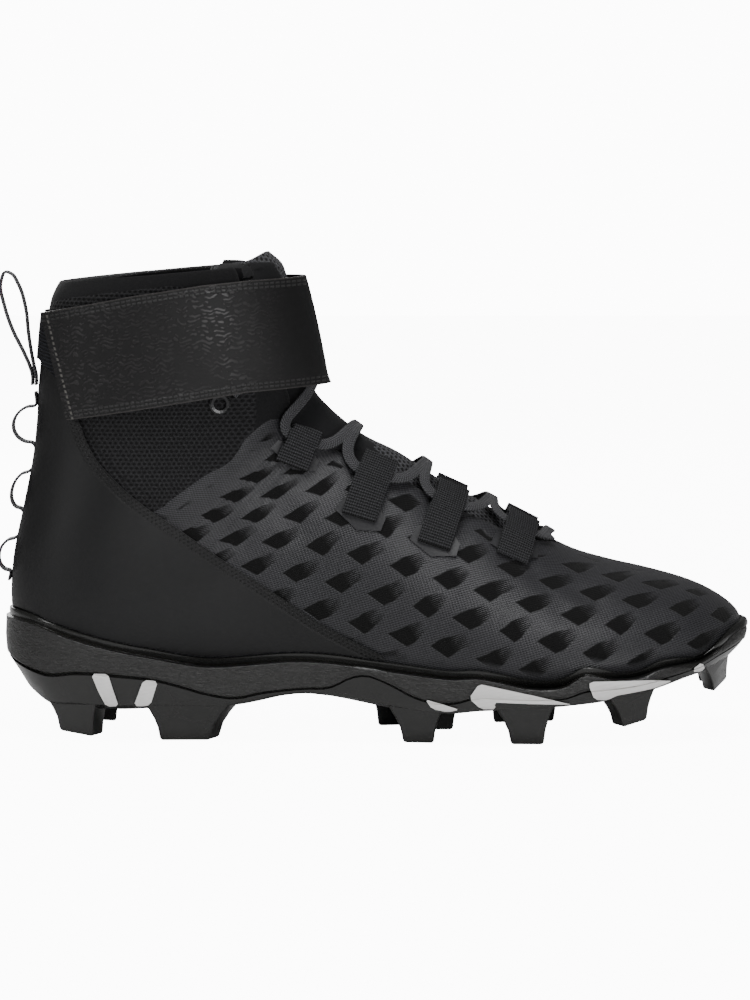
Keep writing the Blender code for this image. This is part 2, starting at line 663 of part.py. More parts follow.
# Front edge of the heel quarter, from the ankle down to the sole's lip.
# Columns: x as a share of LENGTH, z as a share of SHAFT_RISE
QUARTER_FRONT = (
    (0.080, 0.820), (0.098, 0.665), (0.106, 0.636), (0.116, 0.590), (0.129, 0.548), (0.150, 0.506),
    (0.172, 0.467), (0.200, 0.427), (0.238, 0.381), (0.289, 0.315), (0.376, 0.212),
    (0.417, 0.162), (0.461, 0.118), (0.508, 0.076), (0.524, 0.060),
)
QUARTER_TOP = (-0.040, 0.820)

# Edges of the ankle strap in side view, in the same shares
STRAP_TOP = ((0.052, 0.903), (0.177, 0.948), (0.272, 0.975), (0.329, 0.985), (0.396, 0.991), (0.480, 0.996))
STRAP_LOW = ((0.480, 0.736), (0.435, 0.728), (0.329, 0.714), (0.255, 0.693), (0.156, 0.664), (0.089, 0.645))
ELASTIC_TOP = (-0.040, 0.892)
ELASTIC_LOW = ((0.086, 0.690), (0.048, 0.788), (-0.040, 0.800))


def cut_between(piece, inner, outer):
    """Keeps what lies between the upper's form grown by two distances."""
    apply_boolean(piece, grown_form(piece.name + "_outside", outer), "INTERSECT", simplify=False)
    apply_boolean(piece, grown_form(piece.name + "_inside", inner), "DIFFERENCE", simplify=False)


def build_quarter():
    """Smooth overlay round the heel, down to just over the sole's lip."""
    front = [side_point(*p) for p in QUARTER_FRONT]
    front = [p for p in front if p[1] > sole_z("lip", p[0]) + 3 * CLEARANCE]
    lip_xs = np.linspace(front[-1][0] + CLEARANCE, HEEL_X, 30)
    lip = [(x, sole_z("lip", x) + 2 * CLEARANCE) for x in lip_xs]
    behind = (side_point(*QUARTER_TOP)[0], lip[-1][1])
    outline = front + lip + [behind, side_point(*QUARTER_TOP)]
    quarter = prism("heel_quarter", outline, -BALL_WIDTH, BALL_WIDTH, parts)
    cut_between(quarter, CLEARANCE, CLEARANCE + QUARTER_THICKNESS)
    add_material(quarter, (0.02, 0.02, 0.021), 0.5)


def build_strap():
    """Wide band round the front of the ankle, from seam to seam."""
    outline = [side_point(*p) for p in STRAP_TOP + STRAP_LOW]
    strap = prism("ankle_strap", outline, -BALL_WIDTH, BALL_WIDTH, parts)
    cut_between(strap, STRAP_LIFT, STRAP_LIFT + STRAP_THICKNESS)
    add_material(strap, (0.016, 0.015, 0.016), 0.4)


def build_elastic():
    """Ribbed elastic round the heel, with its ends tucked under the strap."""
    tuck = ELASTIC_TUCK / LENGTH
    outline = [side_point(*ELASTIC_TOP), side_point(STRAP_TOP[0][0] + tuck, STRAP_TOP[0][1] - 0.01),
               side_point(ELASTIC_LOW[0][0] + tuck, ELASTIC_LOW[0][1])]
    outline += [side_point(*p) for p in ELASTIC_LOW[1:]]
    elastic = prism("strap_elastic", outline, -BALL_WIDTH, BALL_WIDTH, parts)
    inner = QUARTER_THICKNESS + 2 * CLEARANCE
    cut_between(elastic, inner, inner + ELASTIC_THICKNESS)
    add_material(elastic, (0.01, 0.01, 0.012), 0.8)


def side_hit(x, z, side):
    """Point and normal of the form where a side-view point lies on it."""
    px, pz = side_point(x, z)
    hit, normal, face, length = FORM_TREE.ray_cast(Vector((px, side * BALL_WIDTH * 2, pz)), Vector((0, -side, 0)))
    return hit, normal


def on_form(point, height):
    """The nearest point of the form, lifted off it."""
    place, normal, face, length = FORM_TREE.find_nearest(point)
    return place + normal * height, normal


# Lace loops from the ankle to the toe: the ends of each in side view, at the
# throat and where it is sewn down.
# Columns: throat_x, throat_z, sewn_x, sewn_z
LACE_LOOPS = (
    (0.405, 0.617, 0.386, 0.529),
    (0.504, 0.542, 0.475, 0.406),
    (0.598, 0.464, 0.574, 0.338),
    (0.691, 0.384, 0.678, 0.306),
)
# Section of a lace loop, round its outside and round its hole.
# Columns: share of its length, layers of webbing under, share of the hole under
LOOP_OUTSIDE = (
    (0.00, 0, 0.0), (0.25, 0, 0.0), (0.50, 0, 0.0), (0.75, 0, 0.0), (0.95, 0, 0.0), (1.00, 1, 0.0),
    (1.00, 1, 1.0), (0.95, 2, 1.0), (0.75, 2, 1.0), (0.48, 2, 1.0), (0.24, 2, 0.4), (0.00, 2, 0.0),
)
LOOP_HOLE = (
    (0.34, 1, 0.2), (0.39, 1, 0.0), (0.48, 1, 0.0), (0.75, 1, 0.0), (0.90, 1, 0.0), (0.94, 1, 0.2),
    (0.94, 1, 0.8), (0.90, 1, 1.0), (0.75, 1, 1.0), (0.48, 1, 1.0), (0.39, 1, 0.7), (0.34, 1, 0.4),
)
LOOP_SEAT = 2.3 * CLEARANCE
LOOP_HOLE_HEIGHT = LACE_THICKNESS + 4 * CLEARANCE
LACE_SEAT = 0.67
LACE_RUNOUT = 4.5 * MM
LACE_STEP = 5.5 * MM
LACE_LEVEL = LOOP_SEAT + WEBBING + LOOP_HOLE_HEIGHT / 2


def loop_frame(loop, side):
    """Sewn end, throat end and the direction across, towards the toe."""
    sewn, normal = side_hit(loop[2], loop[3], side)
    throat, throat_normal = side_hit(loop[0], loop[1], side)
    across = (throat - sewn).cross(normal + throat_normal).normalized()
    if across.x < 0:
        across = -across
    return sewn, throat, across


def build_lace_loop(name, loop, side):
    """Webbing folded round the lace and sewn down on the vamp."""
    sewn, throat, across = loop_frame(loop, side)
    work = bmesh.new()
    rims = []
    for shift in (-LOOP_WIDTH / 2, LOOP_WIDTH / 2):
        rim = []
        for outline in (LOOP_OUTSIDE, LOOP_HOLE):
            line = []
            for share, layers, gap in outline:
                place = sewn.lerp(throat, share) + across * shift
                height = LOOP_SEAT + layers * WEBBING + gap * LOOP_HOLE_HEIGHT
                line.append(work.verts.new(on_form(place, height)[0]))
            rim.append(line)
        rims.append(rim)
    count = len(LOOP_OUTSIDE)
    for j in range(count):
        k = (j + 1) % count
        for outside, hole in rims:
            work.faces.new((outside[j], outside[k], hole[k], hole[j]))
        for line in (0, 1):
            work.faces.new((rims[0][line][j], rims[0][line][k], rims[1][line][k], rims[1][line][j]))
    bmesh.ops.recalc_face_normals(work, faces=work.faces)
    obj = link_mesh(name, work, parts)
    add_material(obj, (0.03, 0.03, 0.032), 0.8)


def ribbon(name, path, normals, width, thickness, collection):
    """Flat strip along a path of points, with its face along the normals."""
    work = bmesh.new()
    rings = []
    for i, (point, normal) in enumerate(zip(path, normals)):
        ahead = path[min(i + 1, len(path) - 1)] - path[max(i - 1, 0)]
        across = ahead.cross(normal).normalized() * (width / 2)
        up = normal.normalized() * (thickness / 2)
        rings.append([work.verts.new(point + a * across + b * up)
                      for a, b in ((-1, -1), (1, -1), (1, 1), (-1, 1))])
    for near, far in zip(rings, rings[1:]):
        for j in range(4):
            k = (j + 1) % 4
            work.faces.new((near[j], near[k], far[k], far[j]))
    work.faces.new(rings[0])
    work.faces.new(rings[-1])
    bmesh.ops.recalc_face_normals(work, faces=work.faces)
    return link_mesh(name, work, collection)


LACE_START = ((0.306, 0.711), (0.330, 0.765), (0.375, 0.800))
LACE_RIDGE = (0.411, 0.800)


def lace_path(side, with_bar):
    """Half of the lace: from an eyelet over the ankle, then crossing down the throat."""
    stops = [side_hit(x, z, side)[0] for x, z in LACE_START]
    ridge_x, ridge_z = side_point(*LACE_RIDGE)
    stops.append(Vector((ridge_x + STRAP_LIFT, 0, ridge_z)))
    at_side = -side
    for loop in LACE_LOOPS:
        sewn, throat, across = loop_frame(loop, at_side)
        seat = sewn.lerp(throat, LACE_SEAT)
        inward = (throat - sewn).normalized() * LACE_RUNOUT
        past_loop = across * (LOOP_WIDTH / 2 + LACE_RUNOUT / 2)
        turn = across * (LOOP_WIDTH / 2 + LACE_RUNOUT * 1.4)
        stops += [seat - turn + inward, seat - past_loop, seat, seat + past_loop, seat + turn + inward]
        at_side = -at_side
    if with_bar:
        sewn, throat, across = loop_frame(LACE_LOOPS[-1], at_side)
        stops.append(sewn.lerp(throat, LACE_SEAT) + across * (LOOP_WIDTH + LACE_RUNOUT) / 2)
    path, normals = [], []
    for near, far in zip(stops, stops[1:]):
        count = max(1, round((far - near).length / LACE_STEP))
        for step in range(count):
            point, normal = on_form(near.lerp(far, step / count), LACE_LEVEL)
            path.append(point)
            normals.append(normal)
    point, normal = on_form(stops[-1], LACE_LEVEL)
    return soften(path + [point]), soften(normals + [normal])


def soften(line):
    """Each point moved a little towards its neighbours, so that a strip bends evenly."""
    inner = [(a + 2 * b + c) / 4 for a, b, c in zip(line, line[1:], line[2:])]
    return [line[0]] + inner + [line[-1]]


def build_laces():
    """The two halves of the lace, joined where they cross."""
    path, normals = lace_path(MEDIAL, True)
    laces = ribbon("laces", path, normals, LACE_WIDTH, LACE_THICKNESS, parts)
    path, normals = lace_path(LATERAL, False)
    other = ribbon("other_lace", path, normals, LACE_WIDTH, LACE_THICKNESS, cutters)
    apply_boolean(laces, other, "UNION", simplify=False, crosses_itself=True)
    add_material(laces, (0.05, 0.05, 0.052), 0.8)


EYELET_PLACE = (0.292, 0.686)


def build_eyelet(name, side):
    """Small metal ring lying on the ankle."""
    hit, normal = side_hit(*EYELET_PLACE, side)
    minor = (EYELET_RADIUS - EYELET_HOLE) / 2
    bpy.ops.mesh.primitive_torus_add(major_radius=EYELET_HOLE + minor, minor_radius=minor,
                                     major_segments=16, minor_segments=5)
    ring = bpy.context.object
    ring.name = name
    for collection in list(ring.users_collection):
        collection.objects.unlink(ring)
    parts.objects.link(ring)
    for vertex in ring.data.vertices:
        vertex.co.z *= EYELET_THICKNESS / (2 * minor)
    ring.rotation_euler = normal.to_track_quat("Z", "Y").to_euler()
    ring.location = hit + normal * (2 * CLEARANCE + EYELET_THICKNESS / 2)
    add_material(ring, (0.02, 0.02, 0.02), 0.3, 0.6)


def heel_back(z):
    """x of the upper's back at a height."""
    rows = np.linspace(16, COLLAR_ROW, 40)
    points = [skin(row, -math.pi / 2, LATERAL) for row in rows]
    return float(np.interp(z, [p.z for p in points], [p.x for p in points]))


TAPE_STAND = QUARTER_THICKNESS + 2 * CLEARANCE + PULL_THICKNESS / 2

# Pull loop in side view, up its front leg and down its back leg. height: share of
# SHAFT_RISE. stand: distance behind the heel tape's own line, in PULL_THICKNESS.
# Columns: height, stand
PULL_LOOP = (
    (0.722, 0.0), (0.745, 0.3), (0.765, 1.3), (0.850, 3.4), (0.905, 4.2), (0.970, 7.0), (0.995, 9.4),
    (1.000, 11.6), (0.975, 13.3), (0.915, 12.0), (0.855, 9.0), (0.800, 5.0), (0.765, 2.8), (0.745, 1.7),
    (0.722, 1.4),
)
PULL_FOOT = 0.765
# Small loops of the heel tape. middle, half: heights as shares of SHAFT_RISE.
# stand: how far each stands off, in PULL_THICKNESS.
# Columns: middle, half, stand
TAPE_LOOPS = ((0.625, 0.046, 7.6), (0.462, 0.045, 4.6), (0.303, 0.040, 4.6))
TAPE_ENDS = (0.705, 0.240)


def build_pull_loop():
    path = []
    for height, stand in PULL_LOOP:
        z = level(height)
        foot = heel_back(level(min(height, PULL_FOOT)))
        path.append(Vector((foot - TAPE_STAND - stand * PULL_THICKNESS, 0, z)))
    build_webbing("pull_loop", path)


def build_heel_tape():
    """Tape down the back of the heel, with three small loops standing off it."""
    places = [(TAPE_ENDS[0], 0.0)]
    for middle, half, stand in TAPE_LOOPS:
        for step in range(9):
            turn = math.pi * step / 8
            places.append((middle + half * math.cos(turn), stand * math.sin(turn)))
    places.append((TAPE_ENDS[1], 0.0))
    path = []
    for height, stand in places:
        z = level(height)
        path.append(Vector((heel_back(z) - TAPE_STAND - stand * PULL_THICKNESS, 0, z)))
    build_webbing("heel_tape", path)


def build_webbing(name, path):
    normals = []
    for i in range(len(path)):
        ahead = path[min(i + 1, len(path) - 1)] - path[max(i - 1, 0)]
        normals.append(ahead.cross(Vector((0, 1, 0))).normalized())
    tape = ribbon(name, path, normals, PULL_WIDTH, PULL_THICKNESS, parts)
    add_material(tape, (0.02, 0.02, 0.02), 0.8)


# White plates on the sole's side: name and corners in side view, x as a share
# of LENGTH and z as a share of SOLE_HEIGHT
ACCENTS = (
    ("heel_bar_rear", ((0.122, 0.504), (0.144, 0.504), (0.158, 0.262), (0.142, 0.258), (0.132, 0.365))),
    ("heel_bar_front", ((0.191, 0.459), (0.210, 0.448), (0.200, 0.273), (0.187, 0.258), (0.178, 0.269))),
    ("waist_flash", ((0.563, 0.339), (0.609, 0.266), (0.593, 0.245), (0.573, 0.266))),
    ("ball_flash", ((0.621, 0.351), (0.634, 0.456), (0.706, 0.373), (0.757, 0.305), (0.698, 0.314),
                    (0.653, 0.323), (0.657, 0.270), (0.637, 0.270))),
    ("toe_flash", ((0.778, 0.448), (0.781, 0.472), (0.860, 0.474), (0.891, 0.458), (0.867, 0.410),
                   (0.813, 0.365), (0.804, 0.330), (0.786, 0.340))),
    ("toe_chip", ((0.931, 0.584), (0.917, 0.531), (0.923, 0.500), (0.936, 0.512))),
)


def build_accents():
    outside = sole_form("accent_outside", cutters, 2 * CLEARANCE + ACCENT_THICKNESS)
    inside = sole_form("accent_inside", cutters, 2 * CLEARANCE)
    for name, corners in ACCENTS:
        outline = [(station_x(x), SOLE_HEIGHT * z) for x, z in corners]
        for side, side_name in ((LATERAL, "lateral"), (MEDIAL, "medial")):
            far = side * BALL_WIDTH
            middle = side * BALL_WIDTH * 0.1
            accent = prism(name + "_" + side_name, outline, min(far, middle), max(far, middle), parts)
            apply_boolean(accent, outside, "INTERSECT", simplify=False)
            apply_boolean(accent, inside, "DIFFERENCE", simplify=False)
            add_material(accent, (0.8, 0.8, 0.78), 0.4)


build_upper()
build_outsole()
build_insole()
build_tongue()
build_quarter()
build_strap()
build_elastic()
build_laces()
build_pull_loop()
build_heel_tape()
build_accents()
for side, side_name in ((LATERAL, "lateral"), (MEDIAL, "medial")):
    build_eyelet("eyelet_" + side_name, side)
    for number, loop in enumerate(LACE_LOOPS, 1):
        build_lace_loop("lace_loop_%s_%d" % (side_name, number), loop, side)
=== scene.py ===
"""Looks of a high-top football cleat, right shoe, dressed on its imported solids."""
import math

import bmesh
import bpy
import numpy as np
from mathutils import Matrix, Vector
from mathutils.bvhtree import BVHTree


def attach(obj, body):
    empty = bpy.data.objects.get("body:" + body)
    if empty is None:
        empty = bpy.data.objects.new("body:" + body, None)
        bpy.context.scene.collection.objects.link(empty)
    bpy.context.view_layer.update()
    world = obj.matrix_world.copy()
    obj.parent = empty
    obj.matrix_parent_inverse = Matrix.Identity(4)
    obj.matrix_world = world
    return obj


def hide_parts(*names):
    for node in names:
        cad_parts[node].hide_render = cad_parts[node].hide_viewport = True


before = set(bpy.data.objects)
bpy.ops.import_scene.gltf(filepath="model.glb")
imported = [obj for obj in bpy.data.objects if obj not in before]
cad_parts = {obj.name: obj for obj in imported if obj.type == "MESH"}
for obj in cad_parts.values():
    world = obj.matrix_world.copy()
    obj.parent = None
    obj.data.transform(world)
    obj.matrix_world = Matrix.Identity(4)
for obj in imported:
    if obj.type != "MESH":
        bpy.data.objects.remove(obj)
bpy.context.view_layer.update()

# Camera, floor and light: a long lens level with the ankle, a flat pale floor, and four soft
# boxes: one over the shoe, one low in front of its toe, one at the heel and one behind.
AIM_X, AIM_Z, FAR, CAMERA_RISE = 0.0002, 0.0930, 2.0, math.radians(4.5)
bpy.ops.object.camera_add(location=(AIM_X, -FAR * math.cos(CAMERA_RISE), AIM_Z + FAR * math.sin(CAMERA_RISE)))
camera = bpy.context.object
camera.rotation_euler = (math.pi / 2 - CAMERA_RISE, 0, 0)
camera.data.lens = 180
camera.data.sensor_width = 36
bpy.context.scene.camera = camera


def linear(colour):
    """sRGB hex to linear RGBA."""
    parts = [int(colour[i:i + 2], 16) / 255 for i in (1, 3, 5)]
    return tuple(c / 12.92 if c <= 0.04045 else ((c + 0.055) / 1.055) ** 2.4 for c in parts) + (1.0,)


def node(tree, kind, inputs=(), colours=(), **settings):
    """Adds a node, or takes one that is there, with its settings, and sets or links its inputs.

    A kind in capitals is an operation of the Math node.
    """
    if isinstance(kind, str) and kind.isupper():
        kind, settings = "Math", {"operation": kind}
    made = tree.nodes.new("ShaderNode" + kind) if isinstance(kind, str) else kind
    for name, value in settings.items():
        setattr(made, name, value)
    for element, colour in zip(made.color_ramp.elements if colours else (), colours):
        element.color = linear(colour)
    for key, value in inputs.items() if isinstance(inputs, dict) else enumerate(inputs):
        if isinstance(value, bpy.types.Node):
            value = value.outputs[0]
        if isinstance(value, bpy.types.NodeSocket):
            tree.links.new(value, made.inputs[key])
        else:
            made.inputs[key].default_value = value
    return made


def material_named(name):
    """An empty node material with its Principled shader."""
    made = bpy.data.materials.new(name)
    made.use_nodes = True
    return made, made.node_tree, made.node_tree.nodes["Principled BSDF"]


def active(obj):
    """Selects one object alone, for the operators that follow."""
    bpy.ops.object.select_all(action="DESELECT")
    obj.select_set(True)
    bpy.context.view_layer.objects.active = obj


bpy.ops.mesh.primitive_plane_add(size=1, location=(0, 0, 0))
floor = bpy.context.object
floor.name = "floor"
bpy.ops.object.mode_set(mode="EDIT")
bpy.ops.transform.resize(value=(12, 8, 1))
bpy.ops.object.mode_set(mode="OBJECT")
paint, tree, shader = material_named("matt_white_studio_paint")
dust = node(tree, "TexNoise", {"Scale": 3.0, "Detail": 2.0})
tone = node(tree, "ValToRGB", (dust,), ("#f6f6f6", "#fbfbfb"))
seen = node(tree, "LightPath").outputs["Is Camera Ray"]
glow = node(tree, "MapRange", (seen, 0.0, 1.0, 0.0, 11.0))
node(tree, shader, {"Base Color": tone, "Roughness": 0.9, "Emission Color": (1, 1, 1, 1),
                    "Emission Strength": glow})
floor.data.materials.append(paint)

world = bpy.data.worlds.new("studio_air")
world.use_nodes = True
tree = world.node_tree
seen = node(tree, "LightPath").outputs["Is Camera Ray"]
strength = node(tree, "MapRange", (seen, 0.0, 1.0, 0.1, 12.0))
node(tree, tree.nodes["Background"], {"Color": (1, 1, 1, 1), "Strength": strength})
bpy.context.scene.world = world
for name, place, turn, size, power in (
        ("box_over", (-0.05, -0.3, 1.1), (16, -4, 0), 0.7, 9),
        ("box_low", (0.62, -1.5, 0.12), (87, 0, 22), 0.5, 13),
        ("box_heel", (-1.2, -0.7, 0.5), (74, 0, -60), 0.4, 3),
        ("box_back", (-0.5, 1.5, 0.7), (68, 0, 198), 0.8, 11)):
    light = bpy.data.lights.new(name, "AREA")
    light.size = size
    light.energy = power
    lamp = bpy.data.objects.new(name, light)
    lamp.location = place
    lamp.rotation_euler = [math.radians(t) for t in turn]
    bpy.context.scene.collection.objects.link(lamp)

# Upper: one shell of coated woven textile over a padded ankle of spacer mesh, sewn and lasted
# by hand. It follows the same sections as its solid, with far more of them, and its soft
# creases are pressed in where the foot bends.
MM = 0.001
MERGE = 0.01 * MM
LENGTH, BALL_WIDTH, SOLE_HEIGHT, SHAFT_RISE = 0.2976, 0.1, 0.0542, 0.162
FOOT_SHARE, FOOT_RISE = 0.3, 2.99 * 0.0542
HEEL_X = -0.5 * LENGTH + 0.001
CLEARANCE, WALL, COLLAR_WALL, COLLAR_PAD = 0.0003, 0.002, 0.005, 0.016
SIDES = (-1, 1)
# Side view of the sole. station: share of LENGTH from the heel.
# plate, groove, lip, bed: heights as shares of SOLE_HEIGHT.
# Columns: station, plate, groove, lip, bed
SOLE_SIDE = (
    (0.000, 0.500, 0.612, 0.940, 0.460),
    (0.020, 0.440, 0.548, 0.938, 0.446),
    (0.038, 0.336, 0.512, 0.920, 0.440),
    (0.060, 0.260, 0.482, 0.878, 0.430),
    (0.100, 0.246, 0.500, 0.804, 0.420),
    (0.160, 0.230, 0.480, 0.718, 0.410),
    (0.210, 0.240, 0.445, 0.665, 0.410),
    (0.240, 0.245, 0.400, 0.632, 0.412),
    (0.270, 0.248, 0.350, 0.610, 0.418),
    (0.315, 0.262, 0.316, 0.617, 0.426),
    (0.345, 0.292, 0.350, 0.632, 0.432),
    (0.371, 0.328, 0.370, 0.646, 0.434),
    (0.403, 0.350, 0.388, 0.652, 0.434),
    (0.440, 0.330, 0.406, 0.642, 0.428),
    (0.466, 0.306, 0.480, 0.626, 0.420),
    (0.485, 0.286, 0.498, 0.610, 0.412),
    (0.510, 0.262, 0.452, 0.595, 0.396),
    (0.555, 0.240, 0.330, 0.565, 0.370),
    (0.598, 0.220, 0.300, 0.540, 0.345),
    (0.635, 0.240, 0.350, 0.548, 0.342),
    (0.655, 0.246, 0.348, 0.530, 0.342),
    (0.706, 0.262, 0.338, 0.472, 0.345),
    (0.722, 0.268, 0.338, 0.466, 0.350),
    (0.748, 0.278, 0.344, 0.492, 0.360),
    (0.773, 0.290, 0.390, 0.576, 0.372),
    (0.789, 0.300, 0.404, 0.568, 0.382),
    (0.816, 0.324, 0.416, 0.530, 0.402),
    (0.845, 0.352, 0.436, 0.532, 0.434),
    (0.876, 0.400, 0.470, 0.606, 0.480),
    (0.907, 0.452, 0.510, 0.617, 0.530),
    (0.934, 0.488, 0.556, 0.622, 0.572),
    (0.953, 0.524, 0.604, 0.710, 0.618),
    (0.970, 0.560, 0.642, 0.794, 0.674),
    (0.986, 0.598, 0.676, 0.838, 0.724),
    (1.000, 0.636, 0.700, 0.848, 0.762),
)

# Plan view of the sole. lateral and medial: half widths, and axis: the shift of
# the middle line towards the medial side, as shares of BALL_WIDTH.
# Columns: station, lateral, medial, axis
SOLE_PLAN = (
    (0.00, 0.345, 0.345, 0.000),
    (0.09, 0.368, 0.366, 0.000),
    (0.17, 0.372, 0.366, 0.000),
    (0.25, 0.362, 0.350, 0.000),
    (0.35, 0.362, 0.325, 0.000),
    (0.45, 0.400, 0.325, 0.000),
    (0.55, 0.455, 0.370, 0.000),
    (0.65, 0.495, 0.440, 0.000),
    (0.74, 0.505, 0.485, 0.004),
    (0.82, 0.490, 0.500, 0.012),
    (0.90, 0.475, 0.495, 0.026),
    (1.00, 0.430, 0.450, 0.050),
)

# Sections of the upper, from the toe back, round the heel and up the ankle.
# top and end are the two ends of a section in side view: stations as shares of
# LENGTH, and heights over the heel seat as shares of SHAFT_RISE.
# lateral, medial: half widths as shares of BALL_WIDTH. widest: where along the
# section it is widest, from its lower end. square_low, square_top: how full
# the section is below and above. under, throat: how far the wall is open at
# the lower and the upper end, as shares of the half width.
# Columns: top_x, top_z, end_x, end_z, lateral, medial, widest, square_low,
# square_top, under, throat
SECTIONS = (
    (0.992, 0.137, 0.992, 0.107, 0.000, 0.000, 0.45, 2.2, 2.0, 0.00, 0.00),
    (0.984, 0.166, 0.986, 0.093, 0.120, 0.130, 0.42, 2.3, 2.0, 0.00, 0.00),
    (0.967, 0.194, 0.971, 0.078, 0.210, 0.235, 0.38, 2.5, 2.0, 0.45, 0.00),
    (0.940, 0.223, 0.945, 0.060, 0.300, 0.325, 0.34, 2.7, 2.0, 0.64, 0.00),
    (0.907, 0.247, 0.910, 0.040, 0.365, 0.385, 0.32, 2.9, 1.95, 0.70, 0.00),
    (0.860, 0.271, 0.860, 0.013, 0.420, 0.440, 0.30, 3.0, 1.90, 0.70, 0.00),
    (0.809, 0.293, 0.806, -0.006, 0.458, 0.465, 0.29, 3.0, 1.85, 0.70, 0.00),
    (0.757, 0.323, 0.748, -0.018, 0.478, 0.462, 0.28, 3.0, 1.80, 0.70, 0.00),
    (0.702, 0.380, 0.688, -0.024, 0.480, 0.438, 0.27, 3.0, 1.75, 0.70, 0.38),
    (0.644, 0.441, 0.631, -0.024, 0.468, 0.408, 0.27, 3.0, 1.75, 0.70, 0.42),
    (0.587, 0.497, 0.571, -0.018, 0.442, 0.378, 0.27, 3.0, 1.75, 0.70, 0.44),
    (0.534, 0.562, 0.507, -0.008, 0.412, 0.350, 0.28, 3.0, 1.80, 0.70, 0.47),
    (0.494, 0.598, 0.436, 0.004, 0.378, 0.332, 0.29, 3.0, 1.85, 0.70, 0.50),
    (0.476, 0.618, 0.355, 0.008, 0.352, 0.328, 0.30, 2.9, 1.90, 0.70, 0.50),
    (0.462, 0.638, 0.268, 0.003, 0.344, 0.340, 0.30, 2.8, 1.90, 0.70, 0.50),
    (0.451, 0.655, 0.178, 0.000, 0.346, 0.346, 0.30, 2.6, 1.90, 0.70, 0.50),
    (0.443, 0.668, 0.095, 0.004, 0.346, 0.346, 0.30, 2.4, 1.90, 0.55, 0.50),
    (0.437, 0.679, 0.032, 0.060, 0.344, 0.344, 0.31, 2.2, 1.90, 0.00, 0.50),
    (0.432, 0.688, 0.014, 0.165, 0.340, 0.340, 0.33, 2.1, 1.90, 0.00, 0.51),
    (0.427, 0.698, 0.015, 0.290, 0.336, 0.336, 0.36, 2.1, 1.95, 0.00, 0.52),
    (0.423, 0.708, 0.029, 0.420, 0.332, 0.332, 0.40, 2.1, 2.00, 0.00, 0.54),
    (0.419, 0.722, 0.042, 0.540, 0.332, 0.332, 0.44, 2.1, 2.05, 0.00, 0.57),
    (0.415, 0.745, 0.048, 0.640, 0.336, 0.336, 0.47, 2.1, 2.10, 0.00, 0.61),
    (0.411, 0.785, 0.050, 0.715, 0.342, 0.342, 0.49, 2.1, 2.15, 0.00, 0.66),
    (0.404, 0.850, 0.054, 0.790, 0.348, 0.348, 0.50, 2.1, 2.15, 0.00, 0.72),
    (0.394, 0.930, 0.058, 0.870, 0.352, 0.352, 0.50, 2.1, 2.15, 0.00, 0.78),
    (0.385, 0.990, 0.064, 0.935, 0.354, 0.354, 0.50, 2.1, 2.15, 0.00, 0.83),
    (0.377, 1.028, 0.076, 0.978, 0.350, 0.350, 0.50, 2.1, 2.15, 0.00, 0.85),
    (0.359, 1.058, 0.076, 0.950, 0.345, 0.345, 0.50, 2.1, 2.15, 0.00, 0.85),
)
COLLAR_ROW = len(SECTIONS) - 2
SECTION_NAMES = ("top_x", "top_z", "end_x", "end_z", "lateral", "medial", "widest",
                 "square_low", "square_top", "under", "throat")
SECTION = dict(zip(SECTION_NAMES, zip(*SECTIONS)))
SIDE_VIEW = dict(zip(("station", "plate", "groove", "lip", "bed"), zip(*SOLE_SIDE)))
PLAN = dict(zip(("station", "lateral", "medial", "axis"), zip(*SOLE_PLAN)))


def smooth(stations, values, where):
    """Cubic through a table's column, for one place or for many."""
    stations, values = np.asarray(stations, float), np.asarray(values, float)
    slopes = np.gradient(values, stations)
    where = np.clip(where, stations[0], stations[-1])
    row = np.clip(np.searchsorted(stations, where) - 1, 0, len(stations) - 2)
    span = stations[row + 1] - stations[row]
    f = (where - stations[row]) / span
    start = (1 + 2 * f) * (1 - f) ** 2 * values[row] + f * (1 - f) ** 2 * span * slopes[row]
    end = f * f * (3 - 2 * f) * values[row + 1] + f * f * (f - 1) * span * slopes[row + 1]
    return start + end


def sole_z(column, x):
    return SOLE_HEIGHT * smooth(SIDE_VIEW["station"], SIDE_VIEW[column], (x - HEEL_X) / LENGTH)


def axis_y(x):
    return BALL_WIDTH * smooth(PLAN["station"], PLAN["axis"], (x - HEEL_X) / LENGTH)


HEEL_SEAT = float(sole_z("bed", HEEL_X + 0.15 * LENGTH))


def level(share):
    foot = np.minimum(share, FOOT_SHARE)
    return HEEL_SEAT + FOOT_RISE * foot + SHAFT_RISE * (share - foot)


def side_point(x, z):
    return (HEEL_X + x * LENGTH, float(level(z)))


def skin(rows, turns, side):
    """Points of the upper's surface: rows against turns in radians, -90 to 90 degrees."""
    rows = np.asarray(rows, float)
    table = np.arange(len(SECTIONS))
    s = {name: smooth(table, SECTION[name], rows) for name in SECTION_NAMES}
    rise, reach = np.sin(turns), np.clip(np.cos(turns), 0, None)
    reach = np.where(reach < 1e-6, 0, reach)
    low = s["widest"] * (1 - np.abs(rise) ** (2 / s["square_low"]))
    top = s["widest"] + (1 - s["widest"]) * np.abs(rise) ** (2 / s["square_top"])
    along = np.where(rise < 0, low, top)
    power = np.where(rise < 0, 2 / s["square_low"], 2 / s["square_top"])
    width = BALL_WIDTH * (s["lateral"] if side < 0 else s["medial"])
    x = HEEL_X + LENGTH * (s["end_x"] + (s["top_x"] - s["end_x"]) * along)
    z = level(s["end_z"] + (s["top_z"] - s["end_z"]) * along)
    return np.stack([x, axis_y(x) + side * width * reach ** power, z], axis=-1)


